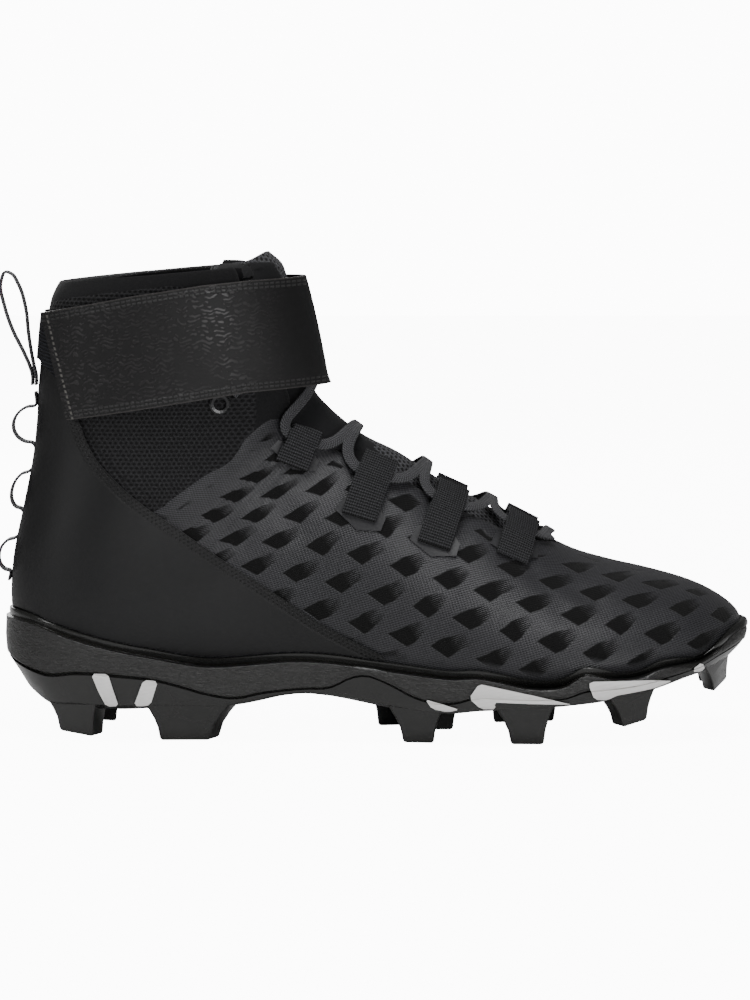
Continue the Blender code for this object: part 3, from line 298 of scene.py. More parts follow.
def open_turns(rows):
    """Where the wall stops on each row, at its lower and its upper end."""
    table = np.arange(len(SECTIONS))
    under = np.interp(rows, table, SECTION["under"])
    throat = np.interp(rows, table, SECTION["throat"])
    low_square = smooth(table, SECTION["square_low"], rows)
    top_square = smooth(table, SECTION["square_top"], rows)
    low = np.where(under > 0.05, -np.arccos(np.clip(under, 0, 1) ** (low_square / 2)), -math.pi / 2)
    top = np.where(throat > 0.05, np.arccos(np.clip(throat, 0, 1) ** (top_square / 2)), math.pi / 2)
    return low, top


def linked(name, mesh):
    """A new object in the scene, from a mesh or from a working mesh."""
    if isinstance(mesh, bmesh.types.BMesh):
        work, mesh = mesh, bpy.data.meshes.new(name)
        work.to_mesh(mesh)
        work.free()
    obj = bpy.data.objects.new(name, mesh)
    bpy.context.scene.collection.objects.link(obj)
    return obj


def working(mesh):
    work = bmesh.new()
    work.from_mesh(mesh)
    return work


def surface(name, grids, maps, lift=None):
    """A sheet from one grid of points for each side, joined where the two sides meet."""
    points, faces, values = [], [], []
    for side, grid, chart in zip(SIDES, grids, maps):
        if lift is not None:
            along = np.gradient(grid, axis=0)
            across = np.gradient(grid, axis=1)
            out = np.cross(along, across) * side
            size = np.linalg.norm(out, axis=-1, keepdims=True)
            out = out / np.maximum(size, 1e-12)
            grid = grid + out * lift[..., None]
        first = len(points)
        rows, columns = grid.shape[:2]
        points += [tuple(p) for p in grid.reshape(-1, 3)]
        values += [tuple(v) for v in chart.reshape(-1, 2)]
        for i in range(rows - 1):
            for j in range(columns - 1):
                a = first + i * columns + j
                ring = (a, a + columns, a + columns + 1, a + 1)
                faces.append(ring if side > 0 else ring[::-1])
    mesh = bpy.data.meshes.new(name)
    mesh.from_pydata(points, [], faces)
    layer = mesh.uv_layers.new(name="UVMap")
    corners = np.array(values)[np.array([loop.vertex_index for loop in mesh.loops])]
    layer.data.foreach_set("uv", corners.ravel())
    work = working(mesh)
    bmesh.ops.remove_doubles(work, verts=work.verts, dist=MERGE)
    bmesh.ops.dissolve_degenerate(work, dist=MERGE, edges=work.edges)
    work.to_mesh(mesh)
    work.free()
    for face in mesh.polygons:
        face.use_smooth = True
    return linked(name, mesh)


def edge_distance(points, line):
    """Signed distance in the side view from points to a line, positive on its left."""
    line = np.asarray(line, float)
    xz = points[:, (0, 2)]
    best = np.full(len(xz), 1e9)
    signed = np.zeros(len(xz))
    run = np.zeros(len(xz))
    passed = 0.0
    for start, end in zip(line, line[1:]):
        step = end - start
        size = np.hypot(*step)
        t = np.clip(((xz - start) @ step) / size ** 2, 0, 1)
        away = xz - (start + t[:, None] * step)
        distance = np.hypot(away[:, 0], away[:, 1])
        turn = step[0] * (xz[:, 1] - start[1]) - step[1] * (xz[:, 0] - start[0])
        near = distance < best - 1e-9
        best = np.where(near, distance, best)
        signed = np.where(near, distance * np.where(turn >= 0, 1, -1), signed)
        run = np.where(near, passed + t * size, run)
        passed += size
    return signed, run


def vertex_points(mesh):
    points = np.empty(len(mesh.vertices) * 3)
    mesh.vertices.foreach_get("co", points)
    return points.reshape(-1, 3)


def store(obj, name, values):
    """Keeps one number for each vertex, in millimetres, for a material to read."""
    layer = obj.data.attributes.new(name, "FLOAT", "POINT")
    layer.data.foreach_set("value", np.asarray(values, dtype=np.float32))


# Lines drawn in side view, in millimetres from the middle of the shoe and the floor
VAMP_EDGE = ((-83.0, 93.4), (-65.8, 105.8), (-57.8, 109.0), (-54.2, 113.4), (-51.4, 118.6), (-45.0, 124.2),
             (-41.4, 126.6), (-37.4, 126.6), (-16.6, 115.4), (-8.2, 111.0), (13.8, 103.8), (20.6, 97.8),
             (42.6, 90.6), (47.4, 84.6), (66.2, 77.4), (78.6, 77.8), (90.0, 86.0))
MESH_LINE = ((-112.2, 125.4), (-110.6, 117.8), (-106.6, 111.0), (-100.4, 104.6), (-83.4, 93.0), (-75.0, 88.0))
RIM_LINE = ((-140.0, 176.0), (-128.0, 172.5), (-120.0, 174.5), (-105.0, 176.8), (-81.0, 179.6),
            (-68.0, 179.0), (-58.0, 175.5), (-50.0, 172.0))
CREASES = ((52.0, 74.0, 88.0, 56.0, 3.0, 0.7), (60.0, 70.0, 74.0, 52.0, 2.4, 0.5),
           (36.0, 86.0, 30.0, 60.0, 4.0, 0.4), (-52.0, 108.0, -30.0, 84.0, 5.0, 0.6),
           (-70.0, 96.0, -52.0, 78.0, 4.0, 0.4))
MESH_SINK, DEEPEST_SINK, SCALE_PITCH, SCALE_RISE = 0.5 * MM, 1.2 * MM, 16.8 * MM, 13.6 * MM
upper_rows = np.linspace(0, COLLAR_ROW, 200)
upper_steps = np.linspace(0, 1, 46)
low_turn, top_turn = open_turns(upper_rows)
upper_turns = low_turn[:, None] + (top_turn - low_turn)[:, None] * upper_steps[None, :]
grids, maps = [], []
for side in SIDES:
    grid = skin(upper_rows[:, None], upper_turns, side)
    arc = np.cumsum(np.linalg.norm(np.diff(grid, axis=1), axis=-1), axis=1)
    arc = np.concatenate([np.zeros((len(arc), 1)), arc], axis=1)
    middle = np.argmin(np.abs(upper_turns), axis=1)
    pick = np.arange(len(arc))
    height = arc - arc[pick, middle][:, None] + grid[pick, middle, 2][:, None]
    grids.append(grid)
    maps.append(np.stack([grid[..., 0] / SCALE_PITCH, (height + 0.27 * grid[..., 0]) / SCALE_RISE], axis=-1))
upper = surface("shoe_upper", grids, maps)
points = vertex_points(upper.data)
vamp, groove, rim = [edge_distance(points, np.multiply(line, MM))[0]
                     for line in (VAMP_EDGE, MESH_LINE, RIM_LINE)]
for name, away in (("vamp", -vamp), ("groove", groove), ("rim", rim)):
    store(upper, name, away / MM)
store(upper, "over_sole", (points[:, 2] - sole_z("lip", points[:, 0])) / MM)
store(upper, "forward", points[:, 0] / MM)
normals = np.empty(len(points) * 3)
upper.data.vertices.foreach_get("normal", normals)
normals = normals.reshape(-1, 3)
sink = np.zeros(len(points))
for x0, z0, x1, z1, wide, deep in CREASES:
    off, _ = edge_distance(points, [(x0 * MM, z0 * MM), (x1 * MM, z1 * MM)])
    sink += deep * MM * np.exp(-(off / (wide * MM)) ** 2)
mesh_side = np.clip(0.5 + vamp / (0.8 * MM), 0, 1) * (points[:, 0] < 0.08) * (points[:, 0] > -0.09)
sink += MESH_SINK * mesh_side
points = points - normals * np.minimum(sink, DEEPEST_SINK)[:, None]
upper.data.vertices.foreach_set("co", points.ravel())
upper.data.update()
pad = upper.vertex_groups.new(name="pad")
collar_top = float(skin(np.array([COLLAR_ROW]), np.array([0.0]), -1)[0, 2])


def padded_wall(heights, where=1):
    """Thickness of the wall at some heights: it grows softly towards the collar."""
    depth = np.clip(1 - (collar_top - heights) / COLLAR_PAD, 0, 1) * where
    return WALL + (COLLAR_WALL - WALL) * depth ** 2 * (3 - 2 * depth)


def modified(obj, kind, **settings):
    """Puts one modifier on an object and applies it."""
    step = obj.modifiers.new("step", kind)
    for name, value in settings.items():
        setattr(step, name, value)
    active(obj)
    bpy.ops.object.modifier_apply(modifier="step")


thick = padded_wall(points[:, 2], points[:, 0] < HEEL_X + 0.36 * LENGTH)
for index, weight in enumerate(thick / COLLAR_WALL):
    pad.add([index], float(weight), "REPLACE")
modified(upper, "SOLIDIFY", thickness=COLLAR_WALL, offset=-1, vertex_group="pad", material_offset=1,
         material_offset_rim=2)
# the flat cut top of the padded collar is rolled over
work = working(upper.data)
rolled = [f for f in work.faces if f.material_index == 2 and f.calc_center_median().z > collar_top - 0.03
          and f.calc_center_median().x < -0.05]
for inward, up in ((0.7 * MM, 0.6 * MM), (1.0 * MM, 0.4 * MM)):
    bmesh.ops.inset_region(work, faces=rolled, thickness=inward, use_even_offset=True)
    for vertex in {v for f in rolled for v in f.verts}:
        vertex.co.z += up
for face in work.faces:
    face.material_index = min(face.material_index, 1)
work.to_mesh(upper.data)
work.free()


def ribs(tree, along, period):
    """Even ribs along a distance, one in each period, from -1 to 1."""
    turn = node(tree, "MULTIPLY", (along, 2 * math.pi / period))
    return node(tree, "SINE", (turn,))


def knitted_cells(tree, place, run, rise, fineness):
    """Staggered open cells between knitted bars: 0 in a cell to 1 on a bar, and its yarn."""
    row = node(tree, "FLOOR", (rise,))
    run = node(tree, "MULTIPLY_ADD", (row, 0.5, run))
    run = node(tree, "FRACT", (run,))
    rise = node(tree, "FRACT", (rise,))
    spot = node(tree, "CombineXYZ", {"X": run, "Y": rise})
    off = node(tree, "VectorMath", (spot, (0.5, 0.5, 0.0)), operation="DISTANCE").outputs["Value"]
    bar = node(tree, "MapRange", (off, 0.22, 0.46))
    yarn = node(tree, "TexNoise", {"Vector": place, "Scale": fineness, "Detail": 1.0})
    return bar, node(tree, "MULTIPLY", (bar, yarn))


# Polyester ripstop with a thin matt film fused on: fine slanting ribs crossed by a fainter
# set, and staggered recesses that start solid black and dissolve up and forward in a hatch.
textile, tree, shader = material_named("coated_ripstop_textile_fused")
chart = node(tree, "UVMap", uv_map="UVMap")
rib_phase = node(tree, "VectorMath", (chart, (-10.27, 14.45, 0)), operation="DOT_PRODUCT")
rib = ribs(tree, rib_phase.outputs["Value"], 1.0)
cross_phase = node(tree, "VectorMath", (chart, (12.6, 3.4, 0)), operation="DOT_PRODUCT")
cross = ribs(tree, cross_phase.outputs["Value"], 1.0)
chart_x, chart_y, _ = node(tree, "SeparateXYZ", (chart,)).outputs
band = node(tree, "FLOOR", (chart_y,))
stagger = node(tree, "MULTIPLY_ADD", (band, 0.5, chart_x))
wobble = node(tree, "TexNoise", {"Vector": chart, "Scale": 0.9, "Detail": 1.0})
stagger = node(tree, "MULTIPLY_ADD", (wobble, 0.35, stagger))
cell_x = node(tree, "FRACT", (stagger,))
cell_y = node(tree, "FRACT", (chart_y,))
local = node(tree, "CombineXYZ", {"X": cell_x, "Y": cell_y})
along = node(tree, "VectorMath", (local, (12.28, 6.8, 0)), operation="DOT_PRODUCT")
along = node(tree, "ADD", (along.outputs["Value"], -9.0))
across = node(tree, "VectorMath", (local, (-12.33, 11.78, 0)), operation="DOT_PRODUCT")
across = node(tree, "ADD", (across.outputs["Value"], 0.3))
spread = node(tree, "ABSOLUTE", (across,))
narrow = node(tree, "MAXIMUM", (along, 0.0))
side_room = node(tree, "MULTIPLY_ADD", (narrow, -0.2, 3.9))
side_room = node(tree, "SUBTRACT", (side_room, spread))
blunt = node(tree, "MULTIPLY_ADD", (across, 0.45, along))
end_room = node(tree, "ADD", (blunt, 5.3))
far_room = node(tree, "SUBTRACT", (8.4, along))
room = node(tree, "MINIMUM", (side_room, end_room))
room = node(tree, "MINIMUM", (room, far_room))
inside = node(tree, "MapRange", (room, 0.0, 0.5))
hatch_phase = node(tree, "VectorMath", (chart, (-14.0, 16.5, 0)), operation="DOT_PRODUCT")
hatch = ribs(tree, hatch_phase.outputs["Value"], 1.0)
fade = node(tree, "MapRange", (along, 0.4, 8.0, 1.6, -1.2))
dissolve = node(tree, "ADD", (fade, hatch))
solid = node(tree, "MapRange", (dissolve, -0.2, 0.5))
vamp_place = node(tree, "Attribute", attribute_name="vamp").outputs["Fac"]
off_film = node(tree, "MapRange", (vamp_place, 4.0, 5.0))
over_sole = node(tree, "Attribute", attribute_name="over_sole").outputs["Fac"]
on_side = node(tree, "MapRange", (over_sole, 1.0, 4.0))
place = node(tree, "TexCoord").outputs["Object"]
place_x, place_y, place_z = node(tree, "SeparateXYZ", (place,)).outputs
off_ridge = node(tree, "ABSOLUTE", (place_y,))
off_ridge = node(tree, "MapRange", (off_ridge, 0.007, 0.013))
scale_mask = inside
for limit in (solid, off_film, on_side, off_ridge):
    scale_mask = node(tree, "MULTIPLY", (scale_mask, limit))
rib_tone = node(tree, "MULTIPLY_ADD", (cross, 0.45, rib))
rib_tone = node(tree, "MapRange", (rib_tone, -1.4, 1.4))
thread = node(tree, "ValToRGB", (rib_tone,), ("#161618", "#404043"))
worn = node(tree, "TexNoise", {"Vector": place, "Scale": 55.0, "Detail": 3.0})
worn = node(tree, "MapRange", (worn, 0.0, 1.0, 0.82, 1.15))
thread = node(tree, "VectorMath", {0: thread, "Scale": worn}, operation="SCALE")
dark = node(tree, "Mix", {"Factor": scale_mask, "A": thread, "B": linear("#030303")}, data_type="RGBA")

# Padded spacer mesh of the ankle: open cells about 2 mm apart between knitted bars, with a
# piped groove sewn along its back edge and a smooth turned rim at the top.
from_heel = node(tree, "ADD", (place_x, 0.085))
round_turn = node(tree, "ARCTAN2", (place_y, from_heel))
cell_run = node(tree, "MULTIPLY", (round_turn, 17.0))
cell_rise = node(tree, "MULTIPLY", (place_z, 1 / 0.00165))
hole, knit_tone = knitted_cells(tree, place, cell_run, cell_rise, 1400.0)
bars = node(tree, "ValToRGB", (knit_tone,), ("#050506", "#2c2c2e"))
bars.color_ramp.elements[1].position = 0.75
is_vamp = node(tree, "MapRange", (vamp_place, -0.15, 0.15))
forward = node(tree, "Attribute", attribute_name="forward").outputs["Fac"]
gusset = node(tree, "MapRange", (forward, -47.5, -46.0))
rim_place = node(tree, "Attribute", attribute_name="rim").outputs["Fac"]
is_rim = node(tree, "MapRange", (rim_place, -0.2, 0.2))
smooth_cloth = node(tree, "MAXIMUM", (gusset, is_rim))
fuzz = node(tree, "TexNoise", {"Vector": place, "Scale": 2200.0, "Detail": 2.0})
fuzz_tone = node(tree, "ValToRGB", (fuzz,), ("#0a0a0b", "#161618"))
ankle = node(tree, "Mix", {"Factor": smooth_cloth, "A": bars, "B": fuzz_tone}, data_type="RGBA")
colour = node(tree, "Mix", {"Factor": is_vamp, "A": ankle.outputs["Result"], "B": dark.outputs["Result"]},
              data_type="RGBA")
rib_height = node(tree, "MULTIPLY_ADD", (scale_mask, -2.6, rib_tone))
groove_place = node(tree, "Attribute", attribute_name="groove").outputs["Fac"]
groove_off = node(tree, "ABSOLUTE", (groove_place,))
groove_depth = node(tree, "MapRange", (groove_off, 0.2, 1.1, -6.0, 0.0))
cell_height = node(tree, "MULTIPLY", (hole, 3.0))
flat_height = node(tree, "Mix", {"Factor": smooth_cloth, "A": cell_height, "B": fuzz})
ankle_height = node(tree, "ADD", (flat_height, groove_depth))
height = node(tree, "Mix", {"Factor": is_vamp, "A": ankle_height, "B": rib_height})
bump = node(tree, "Bump", {"Height": height, "Strength": 0.8, "Distance": 0.00016})
gloss = node(tree, "Mix", {"Factor": scale_mask, "A": 0.36, "B": 0.92})
rough = node(tree, "Mix", {"Factor": is_vamp, "A": 0.85, "B": gloss})
node(tree, shader, {"Base Color": colour.outputs["Result"], "Normal": bump, "Roughness": rough,
                    "Specular IOR Level": 0.3, "Sheen Weight": 0.05, "Sheen Roughness": 0.5})


def grained_material(name, scale, detail, colours, strength, distance):
    """A material whose one fine grain makes both its tone and its relief."""
    made, tree, shader = material_named(name)
    place = node(tree, "TexCoord").outputs["Object"]
    grain = node(tree, "TexNoise", {"Vector": place, "Scale": scale, "Detail": detail})
    tone = node(tree, "ValToRGB", (grain,), colours)
    bump = node(tree, "Bump", {"Height": grain, "Strength": strength, "Distance": distance})
    return made, tree, shader, tone, bump


# Brushed knit lining, matt and nearly black
lining, tree, shader, tone, bump = grained_material(
    "brushed_knit_lining", 1500.0, 3.0, ("#0b0b0c", "#1b1b1d"), 0.6, 0.0001)
node(tree, shader, {"Base Color": tone, "Normal": bump, "Roughness": 0.95, "Specular IOR Level": 0.2,
                    "Sheen Weight": 0.15})
upper.data.materials.append(textile)
upper.data.materials.append(lining)
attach(upper, "root")
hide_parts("upper")

# Heel quarter: a smooth moulded overlay of synthetic leather, glued and stitched round the
# heel from the sole's lip to the ankle, with three rows of stitch holes along its front edge.
FORM_ROWS, FORM_STEPS = ((120, 26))
QUARTER_OUTSIDE, CAP_RISE, PRISM_REACH = 1.3 * MM, 24 * MM, 100 * MM


def closed_form(name, distance):
    """The whole form inside the upper's surface, closed at the top and grown by a distance."""
    rows = np.linspace(0, COLLAR_ROW, FORM_ROWS)
    low, top = open_turns(rows)
    steps = []
    for bottom, roof in zip(low, top):
        below = np.linspace(-math.pi / 2, bottom, 4)[:-1]
        above = np.linspace(roof, math.pi / 2, 8)[1:]
        steps.append(np.concatenate([below, np.linspace(bottom, roof, FORM_STEPS), above]))
    turns = np.array(steps)
    shapes = [skin(rows[:, None], turns, side) for side in SIDES]
    obj = surface(name, shapes, [np.zeros(shape.shape[:2] + (2,)) for shape in shapes])
    work = working(obj.data)
    work.normal_update()
    for vertex, normal in [(v, v.normal.copy()) for v in work.verts]:
        vertex.co += normal * distance
    rim = [e for e in work.edges if e.is_boundary]
    raised = bmesh.ops.extrude_edge_only(work, edges=rim)
    bmesh.ops.translate(work, verts=[v for v in raised["geom"] if isinstance(v, bmesh.types.BMVert)],
                        vec=(0, 0, CAP_RISE))
    bmesh.ops.holes_fill(work, edges=[e for e in work.edges if e.is_boundary])
    bmesh.ops.recalc_face_normals(work, faces=work.faces)
    work.to_mesh(obj.data)
    work.free()
    return obj


def side_prism(name, outline, low_y=-PRISM_REACH, high_y=PRISM_REACH):
    """A block with a side-view outline, filled flat and extruded across the shoe."""
    bpy.ops.object.select_all(action="DESELECT")
    curve = bpy.data.curves.new(name, "CURVE")
    curve.dimensions = "2D"
    curve.fill_mode = "BOTH"
    curve.extrude = (high_y - low_y) / 2
    spline = curve.splines.new("POLY")
    spline.points.add(len(outline) - 1)
    for point, (x, z) in zip(spline.points, outline):
        point.co = (x, z, 0, 1)
    spline.use_cyclic_u = True
    block = linked(name, curve)
    block.location = (0, (low_y + high_y) / 2, 0)
    block.rotation_euler = (math.pi / 2, 0, 0)
    active(block)
    bpy.ops.object.convert(target="MESH")
    bpy.ops.object.transform_apply(location=True, rotation=True, scale=True)
    bpy.ops.object.mode_set(mode="EDIT")
    bpy.ops.mesh.select_all(action="SELECT")
    bpy.ops.mesh.remove_doubles(threshold=MERGE)
    bpy.ops.mesh.normals_make_consistent(inside=False)
    bpy.ops.object.mode_set(mode="OBJECT")
    return block


def cut(piece, other, operation, keep_other=False):
    """Cuts or joins with another closed mesh, for good."""
    modified(piece, "BOOLEAN", operation=operation, object=other, solver="EXACT")
    if not keep_other:
        bpy.data.objects.remove(other, do_unlink=True)


def between(piece, outer, inner):
    """Keeps what lies between two grown copies of the upper's form."""
    cut(piece, closed_form("form_outside", outer), "INTERSECT")
    cut(piece, closed_form("form_inside", inner), "DIFFERENCE")


def rounded_edges(piece, width, segments, angle):
    """Rounds the edges that are sharper than the angle, in degrees."""
    modified(piece, "BEVEL", width=width, segments=segments, limit_method="ANGLE",
             angle_limit=math.radians(angle))


def made_of(piece, material):
    piece.data.materials.clear()
    piece.data.materials.append(material)


def soften(piece, angle=35):
    active(piece)
    bpy.ops.object.shade_smooth_by_angle(angle=math.radians(angle))


QUARTER_FRONT = (
    (0.080, 0.820), (0.098, 0.665), (0.106, 0.636), (0.116, 0.590), (0.129, 0.548), (0.150, 0.506),
    (0.172, 0.467), (0.200, 0.427), (0.238, 0.381), (0.289, 0.315), (0.376, 0.212),
    (0.417, 0.162), (0.461, 0.118), (0.508, 0.076),
)
front = [side_point(*p) for p in QUARTER_FRONT]
lip_x = np.linspace(front[-1][0] + CLEARANCE, HEEL_X, 60)
lip = [(float(x), float(sole_z("lip", x)) + 2 * CLEARANCE) for x in lip_x]
back_x = side_point(-0.040, 0.820)[0]
outline = front + lip + [(back_x, lip[-1][1]), (back_x, side_point(0, 0.820)[1])]
quarter = side_prism("quarter_overlay", outline)
between(quarter, QUARTER_OUTSIDE, CLEARANCE)
soften(quarter)
points = vertex_points(quarter.data)
seam, seam_run = edge_distance(points, front)
store(quarter, "seam", np.abs(seam) / MM)
store(quarter, "seam_run", seam_run / MM)

# Smooth coated microfibre, moulded: a very fine even grain and a satin film
leather, tree, shader = material_named("moulded_coated_microfibre")
place = node(tree, "TexCoord").outputs["Object"]
grain = node(tree, "TexVoronoi", {"Vector": place, "Scale": 1600.0, "Randomness": 1.0})
pull = node(tree, "TexNoise", {"Vector": place, "Scale": 26.0, "Detail": 4.0})
seam_place = node(tree, "Attribute", attribute_name="seam").outputs["Fac"]
run_place = node(tree, "Attribute", attribute_name="seam_run").outputs["Fac"]
# three rows of stitch holes 1.25 mm apart, a hole every 1.9 mm, within 4 mm of the edge
row_turn = node(tree, "MULTIPLY", (seam_place, 1 / 1.25))
row_part = node(tree, "FRACT", (row_turn,))
row_off = node(tree, "SUBTRACT", (row_part, 0.5))
row_off = node(tree, "MULTIPLY", (row_off, 1.25))
row_index = node(tree, "FLOOR", (row_turn,))
stitch_turn = node(tree, "MULTIPLY", (run_place, 1 / 1.9))
stitch_turn = node(tree, "MULTIPLY_ADD", (row_index, 0.5, stitch_turn))
stitch_part = node(tree, "FRACT", (stitch_turn,))
stitch_off = node(tree, "SUBTRACT", (stitch_part, 0.5))
stitch_off = node(tree, "MULTIPLY", (stitch_off, 1.9))
spot = node(tree, "CombineXYZ", {"X": row_off, "Y": stitch_off})
spot_far = node(tree, "VectorMath", (spot,), operation="LENGTH")
spot_mask = node(tree, "MapRange", (spot_far.outputs["Value"], 0.5, 0.28))
in_band = node(tree, "MapRange", (seam_place, 3.8, 3.7))
off_edge = node(tree, "MapRange", (seam_place, 0.2, 0.3))
spot_mask = node(tree, "MULTIPLY", (spot_mask, in_band))
spot_mask = node(tree, "MULTIPLY", (spot_mask, off_edge))
film = node(tree, "ValToRGB", (pull,), ("#101011", "#171718"))
colour = node(tree, "Mix", {"Factor": spot_mask, "A": film, "B": linear("#070707")}, data_type="RGBA")
skin_height = node(tree, "MULTIPLY", (grain.outputs["Distance"], -0.12))
skin_height = node(tree, "MULTIPLY_ADD", (pull, 3.0, skin_height))
skin_height = node(tree, "MULTIPLY_ADD", (spot_mask, -2.0, skin_height))
band_step = node(tree, "MapRange", (seam_place, 3.6, 4.2, 0.0, 1.4))
skin_height = node(tree, "ADD", (skin_height, band_step))
bump = node(tree, "Bump", {"Height": skin_height, "Strength": 0.7, "Distance": 0.0002})
node(tree, shader, {"Base Color": colour.outputs["Result"], "Normal": bump, "Roughness": 0.52,
                    "Specular IOR Level": 0.35})
made_of(quarter, leather)
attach(quarter, "root")
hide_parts("heel_quarter")

# Ankle strap and elastic: a wide strap of coated synthetic goes round the front of the ankle,
# embossed with short broken dashes and stitched twice along its edges. Ribbed elastic joins
# its ends at the heel.
STRAP_LIFT, STRAP_THICKNESS, ELASTIC_LIFT, ELASTIC_THICKNESS = 4.0 * MM, 1.8 * MM, 1.6 * MM, 1.5 * MM
STRAP_TOP = ((0.052, 0.903), (0.177, 0.948), (0.272, 0.975), (0.329, 0.985), (0.396, 0.991), (0.480, 0.996))
STRAP_LOW = ((0.480, 0.736), (0.435, 0.728), (0.329, 0.714), (0.255, 0.693), (0.156, 0.664), (0.089, 0.645))
strap_top = [side_point(*p) for p in STRAP_TOP]
strap_low = [side_point(*p) for p in STRAP_LOW]
strap = side_prism("strap_band", strap_top + strap_low)
between(strap, STRAP_LIFT + STRAP_THICKNESS, STRAP_LIFT)
rounded_edges(strap, 0.4 * MM, 2, 50)
soften(strap)
points = vertex_points(strap.data)
off_top, strap_run = edge_distance(points, strap_top)
off_low, _ = edge_distance(points, strap_low)
off_seam, _ = edge_distance(points, [strap_low[-1], strap_top[0]])
store(strap, "hem", np.minimum(np.abs(off_top), np.abs(off_low)) / MM)
store(strap, "run", strap_run / MM)
store(strap, "end_seam", np.abs(off_seam) / MM)

# Coated synthetic, embossed hot, with a raw cut edge: black, with a low broad gloss
coated, tree, shader = material_named("embossed_coated_synthetic")
place = node(tree, "TexCoord").outputs["Object"]
place_x, place_y, place_z = node(tree, "SeparateXYZ", (place,)).outputs
ripple = node(tree, "TexNoise", {"Vector": place, "Scale": 120.0, "Detail": 2.0})
zigzag = node(tree, "PINGPONG", (place_x, 0.0028))
lean = node(tree, "MULTIPLY_ADD", (place_x, -0.12, place_z))
dash_rise = node(tree, "MULTIPLY_ADD", (zigzag, 0.4, lean))
dash_rise = node(tree, "MULTIPLY_ADD", (ripple, 0.006, dash_rise))
dash_wave = ribs(tree, dash_rise, 0.0018)
broken = node(tree, "TexNoise", {"Vector": place, "Scale": 420.0, "Detail": 1.0})
broken = node(tree, "MapRange", (broken, 0.42, 0.62, -1.2, 0.5))
dash = node(tree, "ADD", (dash_wave, broken))
dash = node(tree, "MapRange", (dash, 0.1, 0.5))
patchy = node(tree, "TexNoise", {"Vector": place, "Scale": 45.0, "Detail": 2.0})
patchy = node(tree, "MapRange", (patchy, 0.3, 0.5))
toward_heel = node(tree, "MapRange", (place_x, -0.034, -0.055))
dash = node(tree, "MULTIPLY", (dash, patchy))
dash = node(tree, "MULTIPLY", (dash, toward_heel))
hem = node(tree, "Attribute", attribute_name="hem").outputs["Fac"]
run = node(tree, "Attribute", attribute_name="run").outputs["Fac"]
end_seam = node(tree, "Attribute", attribute_name="end_seam").outputs["Fac"]
raw_edge = node(tree, "MapRange", (hem, 0.6, 0.25))
stitch_turn = node(tree, "MULTIPLY", (run, 1 / 2.1))
stitch_part = node(tree, "FRACT", (stitch_turn,))
stitch_on = node(tree, "LESS_THAN", (stitch_part, 0.72))
hem_row = node(tree, "SUBTRACT", (hem, 2.3))
hem_row = node(tree, "ABSOLUTE", (hem_row,))
hem_row = node(tree, "SUBTRACT", (hem_row, 0.75))
hem_row = node(tree, "ABSOLUTE", (hem_row,))
hem_row = node(tree, "MapRange", (hem_row, 0.5, 0.25))
stitches = node(tree, "MULTIPLY", (hem_row, stitch_on))
seam_row = node(tree, "SUBTRACT", (end_seam, 2.6))
seam_row = node(tree, "ABSOLUTE", (seam_row,))
seam_row = node(tree, "MapRange", (seam_row, 0.5, 0.3))
up = node(tree, "MULTIPLY", (place_z, 480.0))
up = node(tree, "FRACT", (up,))
up = node(tree, "LESS_THAN", (up, 0.55))
seam_dots = node(tree, "MULTIPLY", (seam_row, up))
film = linear("#090809")
for mask, colour in ((dash, "#1f1d1e"), (raw_edge, "#333130"), (stitches, "#2b2b2b"), (seam_dots, "#5c5a57")):
    film = node(tree, "Mix", {"Factor": mask, "A": film, "B": linear(colour)}, data_type="RGBA")
    film = film.outputs["Result"]
height = node(tree, "MULTIPLY", (dash, 1.5))
for mask, rise in ((stitches, 1.8), (seam_dots, 1.8), (patchy, 0.6)):
    height = node(tree, "MULTIPLY_ADD", (mask, rise, height))
bump = node(tree, "Bump", {"Height": height, "Strength": 0.8, "Distance": 0.00018})
gloss = node(tree, "MapRange", (dash, 0.0, 1.0, 0.62, 0.4))
node(tree, shader, {"Base Color": film, "Normal": bump, "Roughness": gloss,
                    "Specular IOR Level": 0.4})
made_of(strap, coated)
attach(strap, "root")
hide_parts("ankle_strap")

tuck = 0.006 / LENGTH
elastic_outline = [side_point(x, z) for x, z in (
    (-0.040, 0.892), (0.052 + tuck, 0.893), (0.086 + tuck, 0.690), (0.048, 0.788), (-0.040, 0.800))]
elastic = side_prism("heel_elastic", elastic_outline)
between(elastic, ELASTIC_LIFT + ELASTIC_THICKNESS, ELASTIC_LIFT)
soften(elastic)
# Knitted elastic with rubber cords: ribs 1.4 mm apart, blue-black and matt
ribbed, tree, shader = material_named("knitted_ribbed_elastic")
place = node(tree, "TexCoord").outputs["Object"]
place_x, place_y, place_z = node(tree, "SeparateXYZ", (place,)).outputs
lean = node(tree, "MULTIPLY_ADD", (place_x, 0.25, place_z))
cord_wave = ribs(tree, lean, 0.0014)
fibre = node(tree, "TexNoise", {"Vector": place, "Scale": 1800.0, "Detail": 1.0})
mixed = node(tree, "MULTIPLY_ADD", (fibre, 0.8, cord_wave))
tone_at = node(tree, "MapRange", (mixed, -0.8, 1.5))
tone = node(tree, "ValToRGB", (tone_at,), ("#060607", "#222329"))
bump = node(tree, "Bump", {"Height": mixed, "Strength": 0.8, "Distance": 0.0002})
node(tree, shader, {"Base Color": tone, "Normal": bump, "Roughness": 0.85, "Specular IOR Level": 0.25})
made_of(elastic, ribbed)
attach(elastic, "root")
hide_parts("strap_elastic")

# Tongue and insole: the tongue is a pad of spacer mesh with a smooth turned rim, its sides
# under the eyestays and its middle raised to fill the throat. The insole is a fabric-faced
# foam sheet.
TONGUE_FOAM, TONGUE_GAP, CROWN_GAP, EYESTAY_OVERLAP = 3.2 * MM, 0.9 * MM, 1.6 * MM, math.radians(9)
